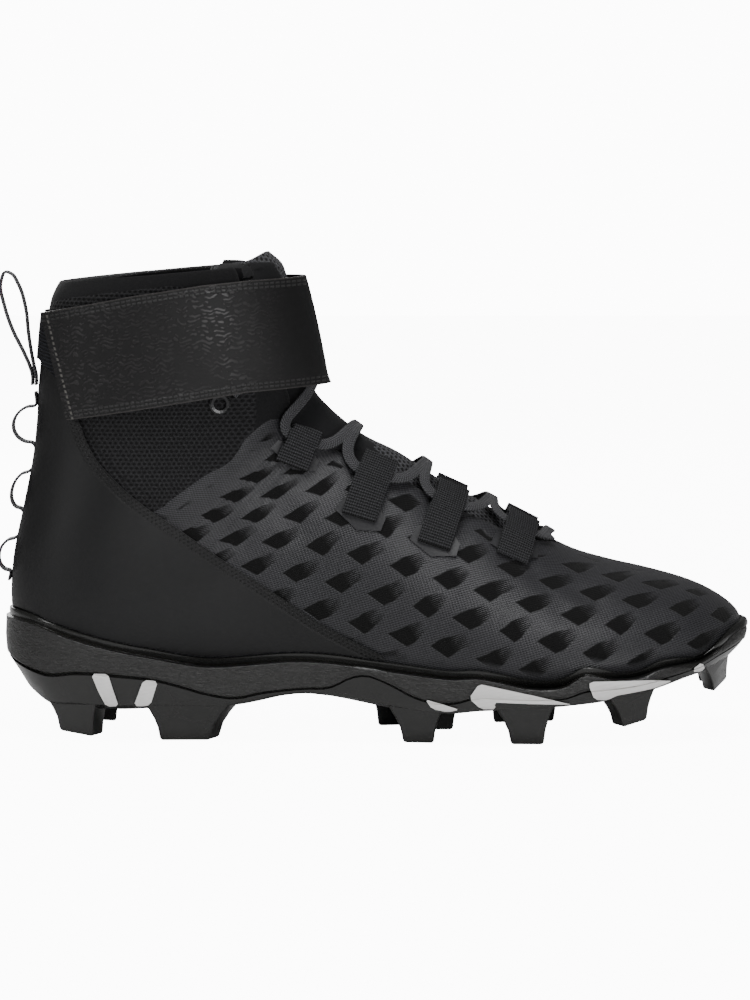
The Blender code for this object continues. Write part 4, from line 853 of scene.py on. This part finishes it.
# rows of SECTIONS where the tongue starts, ends, has sunk fully and begins to rise
TONGUE_START, TONGUE_END, SUNK_ROW, RISE_ROW = 6.4, 28, 9.0, 7.9
tongue_rows = np.concatenate([np.linspace(TONGUE_START, COLLAR_ROW, 90),
                              np.linspace(COLLAR_ROW, TONGUE_END, 8)[1:]])
low_turn, top_turn = open_turns(np.minimum(tongue_rows, COLLAR_ROW))
tongue_low = np.minimum(top_turn, math.radians(75)) - EYESTAY_OVERLAP
share = np.linspace(0, 1, 26)
tongue_turns = tongue_low[:, None] + (math.pi / 2 - tongue_low)[:, None] * share[None, :]
side_tops = skin(np.minimum(tongue_rows, COLLAR_ROW)[:, None], np.zeros((len(tongue_rows), 1)), -1)[:, 0, 2]
near_end = np.maximum(SUNK_ROW - tongue_rows, 0) * TONGUE_GAP
under_wall = -padded_wall(side_tops) - TONGUE_GAP - near_end
past_end = np.clip((tongue_rows - RISE_ROW) / 1.2, 0, 1)
crown = np.clip((share - 0.42) / 0.35, 0, 1)
crown = (crown ** 2 * (3 - 2 * crown))[None, :] * past_end[:, None]
lift = under_wall[:, None] + (-CROWN_GAP - under_wall[:, None]) * crown
grids, maps = [], []
for side in SIDES:
    grid = skin(tongue_rows[:, None], tongue_turns, side)
    down = np.cumsum(np.linalg.norm(np.diff(grid, axis=0), axis=-1), axis=0)
    down = np.concatenate([np.zeros((1, grid.shape[1])), down], axis=0)
    grids.append(grid)
    maps.append(np.stack([side * np.abs(grid[..., 1]) / MM, down / MM], axis=-1))
tongue = surface("tongue_pad", grids, maps, lift)
points = vertex_points(tongue.data)
top_line = [(-0.0354, 0.180), (-0.0400, 0.1885), (-0.0480, 0.1885), (-0.0560, 0.1870), (-0.0680, 0.1835)]
rim, _ = edge_distance(points, top_line)
store(tongue, "rim", rim / MM)
modified(tongue, "SOLIDIFY", thickness=TONGUE_FOAM, offset=-1)
rounded_edges(tongue, 1.2 * MM, 3, 60)
soften(tongue, 60)
# Knitted spacer mesh, coarse, with open cells about 2 mm apart
spacer, tree, shader = material_named("knitted_spacer_mesh")
place = node(tree, "TexCoord").outputs["Object"]
chart = node(tree, "UVMap", uv_map="UVMap")
chart_x, chart_y, _ = node(tree, "SeparateXYZ", (chart,)).outputs
cell_rise = node(tree, "MULTIPLY", (chart_y, 1 / 1.9))
cell_run = node(tree, "MULTIPLY", (chart_x, 1 / 2.3))
hole, knit_tone = knitted_cells(tree, place, cell_run, cell_rise, 1500.0)
bars = node(tree, "ValToRGB", (knit_tone,), ("#050506", "#4e4e52"))
bars.color_ramp.elements[1].position = 0.75
rim_place = node(tree, "Attribute", attribute_name="rim").outputs["Fac"]
is_rim = node(tree, "MapRange", (rim_place, -0.2, 0.2))
colour = node(tree, "Mix", {"Factor": is_rim, "A": bars, "B": linear("#101012")}, data_type="RGBA")
cell_height = node(tree, "Mix", {"Factor": is_rim, "A": hole, "B": 0.9})
bump = node(tree, "Bump", {"Height": cell_height, "Strength": 0.9, "Distance": 0.0005})
node(tree, shader, {"Base Color": colour.outputs["Result"], "Normal": bump, "Roughness": 0.85,
                    "Specular IOR Level": 0.3, "Sheen Weight": 0.1})
made_of(tongue, spacer)
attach(tongue, "root")
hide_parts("tongue")

insole_cloth, tree, shader, tone, bump = grained_material(
    "fabric_faced_foam", 1300.0, 2.0, ("#0c0c0d", "#202022"), 0.6, 0.0002)
node(tree, shader, {"Base Color": tone, "Normal": bump, "Roughness": 0.95})
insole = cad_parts["insole"]
made_of(insole, insole_cloth)

# Laces: flat woven polyester, 4.6 mm wide, from an eyelet on each side of the ankle under the
# strap, crossing down the throat through four pairs of webbing loops.
base_form = closed_form("lace_guide", 0.0)
work = working(base_form.data)
FORM_TREE = BVHTree.FromBMesh(work)
work.free()
bpy.data.objects.remove(base_form, do_unlink=True)
LACE_LOOPS = (
    (0.405, 0.617, 0.386, 0.529),
    (0.504, 0.542, 0.475, 0.406),
    (0.598, 0.464, 0.574, 0.338),
    (0.691, 0.384, 0.678, 0.306),
)
LACE_WIDTH, LACE_THICKNESS, WEBBING, LOOP_WIDTH = 0.0046, 0.0012, 0.0009, 0.0135
LOOP_SEAT, LOOP_HOLE_HEIGHT = 2.3 * CLEARANCE, 0.0012 + 4 * CLEARANCE
LACE_SEAT, LACE_RUNOUT = 0.67, 0.0045
LACE_LEVEL = LOOP_SEAT + WEBBING + LOOP_HOLE_HEIGHT / 2
LACE_START = ((0.306, 0.711), (0.330, 0.765), (0.375, 0.800))


def side_hit(x, z, side):
    px, pz = side_point(x, z)
    hit, normal, _, _ = FORM_TREE.ray_cast(Vector((px, side * 0.2, pz)), Vector((0, -side, 0)))
    return hit, normal


def on_form(point, height):
    place, normal, _, _ = FORM_TREE.find_nearest(point)
    return place + normal * height, normal


def loop_frame(loop, side):
    """Sewn end, throat end and the direction across, towards the toe."""
    sewn, normal = side_hit(loop[2], loop[3], side)
    throat, throat_normal = side_hit(loop[0], loop[1], side)
    across = (throat - sewn).cross(normal + throat_normal).normalized()
    return sewn, throat, (-across if across.x < 0 else across)


def evened(line, times):
    """Each point moved halfway to the middle of its neighbours, the ends kept."""
    for _ in range(times):
        line = [line[0]] + [(a + 2 * b + c) / 4 for a, b, c in zip(line, line[1:], line[2:])] + [line[-1]]
    return line


def lace_path(side, with_bar):
    stops = [side_hit(x, z, side)[0] for x, z in LACE_START]
    ridge_x, ridge_z = side_point(0.411, 0.800)
    stops.append(Vector((ridge_x + 0.004, 0, ridge_z)))
    at_side = -side
    for loop in LACE_LOOPS:
        sewn, throat, across = loop_frame(loop, at_side)
        seat = sewn.lerp(throat, LACE_SEAT)
        inward = (throat - sewn).normalized() * LACE_RUNOUT
        past_loop = across * (LOOP_WIDTH / 2 + LACE_RUNOUT / 2)
        turn = across * (LOOP_WIDTH / 2 + LACE_RUNOUT * 1.4)
        stops += [seat - turn + inward, seat - past_loop, seat, seat + past_loop, seat + turn + inward]
        at_side = -at_side
    if with_bar:
        sewn, throat, across = loop_frame(LACE_LOOPS[-1], at_side)
        stops.append(sewn.lerp(throat, LACE_SEAT) + across * (LOOP_WIDTH + LACE_RUNOUT) / 2)
    line = []
    for near, far in zip(stops, stops[1:]):
        count = max(1, round((far - near).length / 0.0016))
        line += [near.lerp(far, step / count) for step in range(count)]
    line.append(stops[-1])
    lifted = [on_form(p, LACE_LEVEL) for p in evened(line, 9)]
    return evened([p for p, _ in lifted], 3), evened([n for _, n in lifted], 3)


def strip(name, path, normals, width, thickness):
    """A flat woven strip with rounded edges, its UV map in millimetres along and across."""
    rounded = []
    for turn in np.linspace(0, 2 * math.pi, 12, endpoint=False):
        a, b = math.cos(turn), math.sin(turn)
        rounded.append((math.copysign(abs(a) ** 0.35, a), math.copysign(abs(b) ** 0.8, b)))
    work = bmesh.new()
    rings, charts, passed = [], [], 0.0
    for i, (point, normal) in enumerate(zip(path, normals)):
        ahead = path[min(i + 1, len(path) - 1)] - path[max(i - 1, 0)]
        across = ahead.cross(normal).normalized() * (width / 2)
        up = across.cross(ahead).normalized() * (thickness / 2)
        if up.dot(normal) < 0:
            up = -up
        passed += (point - path[max(i - 1, 0)]).length
        rings.append([work.verts.new(point + a * across + b * up) for a, b in rounded])
        charts.append([(passed / MM, a * width / 2 / MM) for a, b in rounded])
    uv = work.loops.layers.uv.new("UVMap")
    chart_of = {v: c for ring, chart in zip(rings, charts) for v, c in zip(ring, chart)}
    for near, far in zip(rings, rings[1:]):
        for j in range(len(rounded)):
            k = (j + 1) % len(rounded)
            work.faces.new((near[j], near[k], far[k], far[j]))
    work.faces.new(rings[0])
    work.faces.new(rings[-1])
    for face in work.faces:
        for corner in face.loops:
            corner[uv].uv = chart_of[corner.vert]
    bmesh.ops.recalc_face_normals(work, faces=work.faces)
    obj = linked(name, work)
    soften(obj, 50)
    return obj


lace = strip("lace_run_medial", *lace_path(1, True), LACE_WIDTH, LACE_THICKNESS)
other_lace = strip("lace_run_lateral", *lace_path(-1, False), LACE_WIDTH, LACE_THICKNESS)
# Flat polyester lace: a herringbone of twisted yarn, dark grey
yarn, tree, shader = material_named("flat_woven_polyester_lace")
chart = node(tree, "UVMap", uv_map="UVMap")
chart_x, chart_y, _ = node(tree, "SeparateXYZ", (chart,)).outputs
off_middle = node(tree, "ABSOLUTE", (chart_y,))
slant = node(tree, "MULTIPLY_ADD", (off_middle, 0.7, chart_x))
wave = ribs(tree, slant, 1.0)
cross = ribs(tree, chart_y, 0.9)
twill = node(tree, "MULTIPLY_ADD", (cross, 0.5, wave))
tone_at = node(tree, "MapRange", (twill, -1.5, 1.5))
tone = node(tree, "ValToRGB", (tone_at,), ("#161617", "#4f4f52"))
bump = node(tree, "Bump", {"Height": twill, "Strength": 0.7, "Distance": 0.00014})
node(tree, shader, {"Base Color": tone, "Normal": bump, "Roughness": 0.8, "Specular IOR Level": 0.3,
                    "Sheen Weight": 0.1})
for piece in (lace, other_lace):
    piece.data.materials.append(yarn)
    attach(piece, "root")
    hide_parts("laces")

# Lace loops and eyelets: short folds of stiff webbing sewn to the vamp, each over a small
# welded film patch, and a black enamelled eyelet under the strap on each side.
webbing, tree, shader = material_named("stiff_ribbed_webbing")
chart = node(tree, "UVMap", uv_map="UVMap")
chart_x, chart_y, _ = node(tree, "SeparateXYZ", (chart,)).outputs
wave = ribs(tree, chart_y, 1.15)
cross = ribs(tree, chart_x, 0.95)
weave = node(tree, "MULTIPLY_ADD", (cross, 0.7, wave))
tone_at = node(tree, "MapRange", (weave, -1.0, 1.7))
tone = node(tree, "ValToRGB", (tone_at,), ("#0b0b0c", "#3e3e41"))
bump = node(tree, "Bump", {"Height": weave, "Strength": 0.8, "Distance": 0.0002})
node(tree, shader, {"Base Color": tone, "Normal": bump, "Roughness": 0.8, "Specular IOR Level": 0.3})
PATCH_OUTSIDE, PATCH_INSIDE = 0.6 * MM, 0.15 * MM
PATCHES = (
    ((-41.0, 115.4), (-32.4, 107.0), (-23.4, 106.2), (-22.0, 110.0), (-24.0, 113.0), (-38.0, 118.5)),
    ((-15.8, 91.8), (-7.0, 83.8), (2.4, 83.4), (4.4, 88.0), (2.0, 92.0), (-11.0, 97.0)),
    ((13.8, 80.2), (22.1, 73.8), (32.2, 73.8), (33.6, 78.0), (32.0, 81.0), (17.0, 85.5)),
    ((45.7, 78.2), (54.6, 72.6), (64.5, 72.2), (65.0, 76.4), (63.0, 78.0), (48.5, 82.5)),
)
films = [side_prism("film", [(x * MM, z * MM) for x, z in corners]) for corners in PATCHES]
bpy.ops.object.select_all(action="DESELECT")
for film in films:
    film.select_set(True)
bpy.context.view_layer.objects.active = films[0]
bpy.ops.object.join()
patches = films[0]
patches.name = "loop_patches"
between(patches, PATCH_OUTSIDE, PATCH_INSIDE)
soften(patches, 40)
backing, tree, shader, tone, bump = grained_material(
    "welded_polyurethane_film", 900.0, 2.0, ("#242426", "#3a3a3c"), 0.3, 0.00008)
node(tree, shader, {"Base Color": tone, "Normal": bump, "Roughness": 0.38})
made_of(patches, backing)
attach(patches, "root")
for side, side_name in zip(SIDES, ("lateral", "medial")):
    for number, loop in enumerate(LACE_LOOPS, 1):
        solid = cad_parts["lace_loop_%s_%d" % (side_name, number)]
        piece = bpy.data.objects.new("webbing_loop_%s_%d" % (side_name, number), solid.data.copy())
        bpy.context.scene.collection.objects.link(piece)
        active(piece)
        bpy.ops.object.mode_set(mode="EDIT")
        bpy.ops.mesh.select_all(action="SELECT")
        bpy.ops.mesh.remove_doubles(threshold=MERGE)
        bpy.ops.mesh.tris_convert_to_quads()
        bpy.ops.object.mode_set(mode="OBJECT")
        rounded_edges(piece, 0.25 * MM, 2, 40)
        soften(piece, 50)
        sewn, throat, across = loop_frame(loop, side)
        along = (throat - sewn).normalized()
        layer = piece.data.uv_layers.get("UVMap") or piece.data.uv_layers.new(name="UVMap")
        for corner in piece.data.loops:
            spot = piece.data.vertices[corner.vertex_index].co - sewn
            layer.data[corner.index].uv = (spot.dot(across) / MM, spot.dot(along) / MM)
        made_of(piece, webbing)
        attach(piece, "root")
        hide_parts("lace_loop_%s_%d" % (side_name, number))

enamel, tree, shader = material_named("black_enamelled_brass")
place = node(tree, "TexCoord").outputs["Object"]
speck = node(tree, "TexNoise", {"Vector": place, "Scale": 900.0, "Detail": 2.0})
tone = node(tree, "ValToRGB", (speck,), ("#1c1c1d", "#3a3a3b"))
gloss = node(tree, "MapRange", (speck, 0.0, 1.0, 0.22, 0.36))
node(tree, shader, {"Base Color": tone, "Roughness": gloss, "Metallic": 0.6})
for side_name in ("lateral", "medial"):
    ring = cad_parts["eyelet_" + side_name]
    made_of(ring, enamel)

# Pull loop and heel tape: narrow woven nylon tape, in one long loop above the collar to pull
# the shoe on, and down the heel, where it stands off in three small loops.
TAPE_WIDTH, TAPE_THICKNESS = 0.010, 0.0011
TAPE_STAND = 0.001 + 2 * CLEARANCE + TAPE_THICKNESS / 2
PULL_LOOP = (
    (0.722, 0.0), (0.745, 0.3), (0.765, 1.3), (0.850, 3.4), (0.905, 4.2), (0.970, 7.0), (0.995, 9.4),
    (1.000, 11.6), (0.975, 13.3), (0.915, 12.0), (0.855, 9.0), (0.800, 5.0), (0.765, 2.8), (0.745, 1.7),
    (0.722, 1.4),
)
TAPE_LOOPS = ((0.625, 0.046, 7.6), (0.462, 0.045, 4.6), (0.303, 0.040, 4.6))
back_rows = np.linspace(16, COLLAR_ROW, 60)
back_line = skin(back_rows[:, None], np.full((60, 1), -math.pi / 2), -1)[:, 0]


def heel_back(z):
    return float(np.interp(z, back_line[:, 2], back_line[:, 0]))


def curve_through(stops, gap):
    """Points a small gap apart on an even curve through the stops."""
    stops = np.array(stops)
    run = np.concatenate([[0], np.cumsum(np.linalg.norm(np.diff(stops, axis=0), axis=1))])
    where = np.linspace(0, run[-1], max(3, int(run[-1] / gap)))
    across, up = smooth(run, stops[:, 0], where), smooth(run, stops[:, 1], where)
    line = np.stack([across, np.zeros(len(where)), up], axis=1)
    path = [Vector(p) for p in line]
    normals = []
    for i in range(len(path)):
        ahead = path[min(i + 1, len(path) - 1)] - path[max(i - 1, 0)]
        normals.append(ahead.cross(Vector((0, 1, 0))).normalized())
    return path, normals


pull_stops = []
for height, stand in PULL_LOOP:
    foot = heel_back(float(level(min(height, 0.765))))
    pull_stops.append((foot - TAPE_STAND - stand * TAPE_THICKNESS, float(level(height))))
tape_stops = [(heel_back(float(level(0.705))) - TAPE_STAND, float(level(0.705)))]
for middle, half, stand in TAPE_LOOPS:
    for step in range(9):
        turn = math.pi * step / 8
        z = float(level(middle + half * math.cos(turn)))
        tape_stops.append((heel_back(z) - TAPE_STAND - stand * math.sin(turn) * TAPE_THICKNESS, z))
tape_stops.append((heel_back(float(level(0.240))) - TAPE_STAND, float(level(0.240))))
# Woven nylon tape, mid grey where its raised ribs catch the light
tape, tree, shader = material_named("woven_nylon_tape")
chart = node(tree, "UVMap", uv_map="UVMap")
chart_x, chart_y, _ = node(tree, "SeparateXYZ", (chart,)).outputs
wave = ribs(tree, chart_x, 1.1)
tone_at = node(tree, "MapRange", (wave, -1.0, 1.0))
tone = node(tree, "ValToRGB", (tone_at,), ("#2c2c2e", "#6a6a6d"))
bump = node(tree, "Bump", {"Height": wave, "Strength": 0.7, "Distance": 0.0001})
node(tree, shader, {"Base Color": tone, "Normal": bump, "Roughness": 0.6})
for name, stops, solid in (("pull_tape", pull_stops, "pull_loop"),
                           ("heel_tape_woven", tape_stops, "heel_tape")):
    piece = strip(name, *curve_through(stops, 0.0008), TAPE_WIDTH, TAPE_THICKNESS)
    piece.data.materials.append(tape)
    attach(piece, "root")
    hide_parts(solid)

# Outsole: one moulded plate of black thermoplastic, a cupped sidewall with a smooth lip, a
# groove, a smooth underside and thirteen tapered studs with flared roots.
HEEL_ROUNDING, TOE_ROUNDING = 0.036, 0.062
LIP_THICKNESS, LIP_BAND, LIP_FLARE, BAND_INSET, SOLE_EDGE = 0.0022, 0.0032, 0.0004, 0.0003, 0.010
STUD_WIDTH, STUD_TAPER, STUD_INSET, STUD_ROOT, STUD_CUT = 0.017, 0.0032, 0.003, 0.005, 0.004
STUD_FLARE_GAP, STUD_MIDDLE_GAP = 0.9 * MM, 1.2 * MM
SOLE_STEPS = 130
# Studs. rear, front: the root, tip_rear, tip_front: the tip, as shares of LENGTH
# from the heel. rear_z, front_z: height of the tip over the floor, as shares of
# SOLE_HEIGHT. side: -1 lateral, 1 medial, 0 middle. cut: which outer corner is
# cut back, -1 the rear one, 1 the front one.
# Columns: side, rear, front, tip_rear, tip_front, rear_z, front_z, cut
STUDS = (
    (-1, 0.046, 0.142, 0.078, 0.135, 0.062, 0.028, 1),
    (1, 0.046, 0.158, 0.078, 0.146, 0.062, 0.028, 1),
    (-1, 0.186, 0.340, 0.212, 0.290, 0.000, 0.000, 1),
    (1, 0.186, 0.340, 0.212, 0.290, 0.000, 0.000, 1),
    (-1, 0.502, 0.592, 0.535, 0.575, 0.000, 0.000, 0),
    (1, 0.484, 0.558, 0.502, 0.543, 0.000, 0.000, 0),
    (0, 0.535, 0.618, 0.553, 0.602, 0.020, 0.020, 0),
    (-1, 0.646, 0.740, 0.677, 0.720, 0.000, 0.000, 0),
    (1, 0.646, 0.765, 0.660, 0.742, 0.000, 0.000, 0),
    (-1, 0.784, 0.876, 0.812, 0.857, 0.118, 0.165, -1),
    (1, 0.784, 0.876, 0.812, 0.857, 0.118, 0.165, -1),
    (-1, 0.918, 0.975, 0.937, 0.970, 0.330, 0.395, -1),
    (1, 0.918, 0.975, 0.937, 0.970, 0.330, 0.395, -1),
)

# Rings of the sole, from the middle of its underside up its side and over the
# lip. inset: how far inside the outline, along the side and at both ends, as
# shares of SOLE_EDGE.
# low, high, share: between which two height curves the ring lies, and how far.
# Columns: inset, heel_inset, toe_inset, low, high, share
SOLE_RINGS = (
    (0.70, 0.95, 0.90, "plate", "groove", 0.0),
    (0.22, 0.65, 0.60, "plate", "groove", 0.15),
    (0.06, 0.35, 0.32, "plate", "groove", 0.60),
    (0.03, 0.14, 0.16, "plate", "groove", 0.96),
    (0.12, 0.20, 0.22, "plate", "groove", 1.0),
    (0.02, 0.04, 0.06, "groove", "lip", 0.06),
    (0.00, 0.00, 0.00, "groove", "lip", 0.35),
)


def half_width(x, side):
    column = "lateral" if side < 0 else "medial"
    width = BALL_WIDTH * smooth(PLAN["station"], PLAN[column], (x - HEEL_X) / LENGTH)
    from_heel = np.clip((x - HEEL_X) / HEEL_ROUNDING, 0, 1)
    from_toe = np.clip((HEEL_X + LENGTH - x) / TOE_ROUNDING, 0, 1)
    heel = (1 - (1 - from_heel) ** 2.2) ** (1 / 2.2)
    toe = (1 - (1 - from_toe) ** 2.1) ** (1 / 2.1)
    return float(width * heel * toe)


def band_z(x):
    lip, groove = float(sole_z("lip", x)), float(sole_z("groove", x))
    return lip - min(LIP_BAND, 0.4 * (lip - groove))


def step_share(step):
    turn = (1 - math.cos(math.pi * step / SOLE_STEPS)) / 2
    return 0.55 * turn + 0.45 * step / SOLE_STEPS


def ring_line(insets, height, grow):
    inset, heel_inset, toe_inset = insets
    start, end = HEEL_X + heel_inset - grow, HEEL_X + LENGTH - toe_inset + grow
    sides = []
    for side in SIDES:
        line = []
        for step in range(SOLE_STEPS + 1):
            share = step_share(step)
            x = start + (end - start) * share
            width = half_width(HEEL_X + LENGTH * share, side)
            reach = max(width - inset + grow, 0) if 0 < step < SOLE_STEPS else 0
            line.append((x, float(axis_y(x)) + side * reach, height(x)))
        sides.append(line)
    return sides


def lip_line(outward, share_down):
    sides = []
    for side in SIDES:
        line = []
        for step in range(SOLE_STEPS + 1):
            share = step_share(step)
            x = HEEL_X + LENGTH * share
            aim = Vector((x, float(axis_y(x)) + side * half_width(x, side), 0))
            middle = Vector((HEEL_X + LENGTH * (0.5 + (share - 0.5) * 0.72), float(axis_y(x)) * 0.9, 0))
            away = (aim - middle).normalized()
            place = aim
            for _ in range(3):
                lip = float(sole_z("lip", place.x))
                middle.z = lip - share_down * (lip - band_z(place.x))
                hit, normal, _, _ = FORM_TREE.ray_cast(middle + away * 0.3, -away)
                flat = Vector((normal.x, normal.y, 0)).normalized()
                if share < 0.0001 or share > 0.9999:
                    flat = Vector((math.copysign(1, share - 0.5), 0, 0))
                place = hit + flat * outward
            line.append((place.x, place.y, middle.z))
        sides.append(line)
    return sides


def sole_form(name, grow=0.0):
    """The sole without studs, a closed loft through its rings."""
    rings = []
    for inset, heel_inset, toe_inset, low, high, share in SOLE_RINGS:
        def height(x, low=low, high=high, share=share):
            return float(sole_z(low, x)) * (1 - share) + float(sole_z(high, x)) * share
        rings.append(ring_line([SOLE_EDGE * v for v in (inset, heel_inset, toe_inset)], height, grow))
    rings.append(ring_line([BAND_INSET] * 3, lambda x: band_z(x) - CLEARANCE, grow))
    for outward, share_down in ((LIP_THICKNESS + LIP_FLARE, 1.0), (LIP_THICKNESS + LIP_FLARE, 0.6),
                                (LIP_THICKNESS + LIP_FLARE / 2, 0.25), (LIP_THICKNESS, 0.08),
                                (LIP_THICKNESS - 2 * LIP_FLARE, 0.0)):
        rings.append(lip_line(outward + grow, share_down))
    work = bmesh.new()
    lines = [[[work.verts.new(p) for p in line] for line in ring] for ring in rings]
    for side in (0, 1):
        for low, high in zip(lines, lines[1:]):
            for j in range(SOLE_STEPS):
                work.faces.new((low[side][j], low[side][j + 1], high[side][j + 1], high[side][j]))
    for ring in (lines[0], lines[-1]):
        for j in range(SOLE_STEPS):
            work.faces.new((ring[0][j], ring[0][j + 1], ring[1][j + 1], ring[1][j]))
    bmesh.ops.remove_doubles(work, verts=work.verts, dist=MERGE)
    bmesh.ops.dissolve_degenerate(work, dist=MERGE, edges=work.edges)
    bmesh.ops.recalc_face_normals(work, faces=work.faces)
    return linked(name, work)


sole = sole_form("sole_plate")
cut(sole, closed_form("sole_bed", CLEARANCE), "DIFFERENCE")
work = bmesh.new()
for side, rear, front, tip_rear, tip_front, rear_z, front_z, corner_cut in STUDS:
    levels = []
    for t in (0.0, 0.3, 0.5, 0.7, 0.86, 1.0):
        flare = t ** 1.7
        ring = []
        for at_front, at_outer in ((0, 0), (1, 0), (1, 1), (0, 1)):
            root_x = HEEL_X + LENGTH * (front if at_front else rear)
            tip_x = HEEL_X + LENGTH * (tip_front if at_front else tip_rear)
            root_z = float(sole_z("plate", root_x)) + STUD_ROOT
            tip_z = SOLE_HEIGHT * (front_z if at_front else rear_z)
            corner = []
            for x, z, taper in ((tip_x, tip_z, STUD_TAPER), (root_x, root_z, 0.0)):
                reach = STUD_WIDTH / 2
                if side:
                    nearest = [half_width(x + step * STUD_INSET, side) for step in (-2, 2)]
                    reach = min(nearest) - STUD_INSET
                limit = 2 * reach if side == 0 else reach - STUD_MIDDLE_GAP
                from_edge = taper if at_outer else min(STUD_WIDTH - taper, limit)
                if at_outer and side and taper == 0:
                    from_edge = STUD_FLARE_GAP - STUD_INSET
                y = float(axis_y(x)) * abs(side) + (side or 1) * (reach - from_edge)
                back = corner_cut * STUD_CUT if at_outer and corner_cut == (1 if at_front else -1) else 0
                corner.append(Vector((x - back, y, z)))
            tip, root = corner
            ring.append(Vector((tip.x + (root.x - tip.x) * flare, tip.y + (root.y - tip.y) * flare,
                                tip.z + (root.z - tip.z) * t)))
        levels.append([work.verts.new(p) for p in ring])
    for low, high in zip(levels, levels[1:]):
        for j in range(4):
            k = (j + 1) % 4
            work.faces.new((low[j], low[k], high[k], high[j]))
    work.faces.new(levels[0])
    work.faces.new(levels[-1])
bmesh.ops.recalc_face_normals(work, faces=work.faces)
studs = linked("studs", work)
rounded_edges(studs, 1.1 * MM, 3, 40)
cut(sole, studs, "UNION")
soften(sole, 32)
points = vertex_points(sole.data)
store(sole, "over_groove", (points[:, 2] - sole_z("groove", points[:, 0])) / MM)
store(sole, "under_lip", (sole_z("lip", points[:, 0]) - points[:, 2]) / MM)

# Thermoplastic polyurethane, injection moulded: satin and smooth on plate, studs and lip,
# with a fine wavy grain sunk in the sidewall above the groove
plate, tree, shader = material_named("injection_moulded_polyurethane")
place = node(tree, "TexCoord").outputs["Object"]
laid = node(tree, "Mapping", {"Vector": place, "Scale": (330.0, 330.0, 1100.0)})
wrinkle = node(tree, "TexNoise", {"Vector": laid, "Scale": 1.0, "Detail": 3.0, "Distortion": 1.4})
over_groove = node(tree, "Attribute", attribute_name="over_groove").outputs["Fac"]
under_lip = node(tree, "Attribute", attribute_name="under_lip").outputs["Fac"]
on_wall = node(tree, "MapRange", (over_groove, 0.6, 1.4))
under_band = node(tree, "MapRange", (under_lip, 3.0, 3.8))
grained = node(tree, "MULTIPLY", (on_wall, under_band))
haze = node(tree, "TexNoise", {"Vector": place, "Scale": 40.0, "Detail": 4.0})
tone = node(tree, "ValToRGB", (haze,), ("#1b1b1a", "#272726"))
height = node(tree, "MULTIPLY", (wrinkle, grained))
fine = node(tree, "TexNoise", {"Vector": place, "Scale": 2500.0, "Detail": 1.0})
height = node(tree, "MULTIPLY_ADD", (fine, 0.06, height))
bump = node(tree, "Bump", {"Height": height, "Strength": 1.0, "Distance": 0.0009})
gloss = node(tree, "MapRange", (grained, 0.0, 1.0, 0.22, 0.38))
node(tree, shader, {"Base Color": tone, "Normal": bump, "Roughness": gloss, "Specular IOR Level": 0.5})
made_of(sole, plate)
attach(sole, "root")
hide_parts("outsole")

# White sole plates: thin moulded plates of the same plastic lie on the sidewall, six on each
# side, each with fine ribs along it.
ACCENT_THICKNESS = 0.0008
# White plates on the sole's side: name and corners in side view, x as a share
# of LENGTH and z as a share of SOLE_HEIGHT
ACCENTS = (
    ("heel_bar_rear", ((0.122, 0.504), (0.144, 0.504), (0.158, 0.262), (0.142, 0.258), (0.132, 0.365))),
    ("heel_bar_front", ((0.191, 0.459), (0.210, 0.448), (0.200, 0.273), (0.187, 0.258), (0.178, 0.269))),
    ("waist_flash", ((0.563, 0.339), (0.609, 0.266), (0.593, 0.245), (0.573, 0.266))),
    ("ball_flash", ((0.621, 0.351), (0.634, 0.456), (0.706, 0.373), (0.757, 0.305), (0.698, 0.314),
                    (0.653, 0.323), (0.657, 0.270), (0.637, 0.270))),
    ("toe_flash", ((0.778, 0.448), (0.781, 0.472), (0.860, 0.474), (0.891, 0.458), (0.867, 0.410),
                   (0.813, 0.365), (0.804, 0.330), (0.786, 0.340))),
    ("toe_chip", ((0.931, 0.584), (0.917, 0.531), (0.923, 0.500), (0.936, 0.512))),
)
white, tree, shader = material_named("white_moulded_polyurethane")
place = node(tree, "TexCoord").outputs["Object"]
lean = node(tree, "Mapping", {"Vector": place, "Rotation": (0, math.radians(12), 0)})
ribs = node(tree, "TexWave", {"Vector": lean, "Scale": 210.0, "Distortion": 0.6, "Detail": 1.0},
            wave_type="BANDS", bands_direction="Z")
grime = node(tree, "TexNoise", {"Vector": place, "Scale": 120.0, "Detail": 3.0})
tone = node(tree, "ValToRGB", (grime,), ("#e6e4e2", "#f4f3f2"))
bump = node(tree, "Bump", {"Height": ribs, "Strength": 0.5, "Distance": 0.00015})
node(tree, shader, {"Base Color": tone, "Normal": bump, "Roughness": 0.45})
outside = sole_form("accent_outside", 2 * CLEARANCE + ACCENT_THICKNESS)
inside = sole_form("accent_inside", 2 * CLEARANCE)
for name, corners in ACCENTS:
    for side, side_name in zip(SIDES, ("lateral", "medial")):
        outline = []
        for before, at, after in zip(corners[-1:] + corners[:-1], corners, corners[1:] + corners[:1]):
            for other in (before, after):
                step = Vector(((other[0] - at[0]) * LENGTH, (other[1] - at[1]) * SOLE_HEIGHT))
                step = step.normalized() * min(0.0011, step.length * 0.4)
                outline.append((HEEL_X + LENGTH * at[0] + step.x, SOLE_HEIGHT * at[1] + step.y))
        far, near = side * BALL_WIDTH, side * BALL_WIDTH * 0.1
        piece = side_prism("white_%s_%s" % (name, side_name), outline, min(far, near), max(far, near))
        cut(piece, outside, "INTERSECT", keep_other=True)
        cut(piece, inside, "DIFFERENCE", keep_other=True)
        soften(piece, 62)
        made_of(piece, white)
        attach(piece, "root")
        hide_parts(name + "_" + side_name)
bpy.data.objects.remove(outside, do_unlink=True)
bpy.data.objects.remove(inside, do_unlink=True)
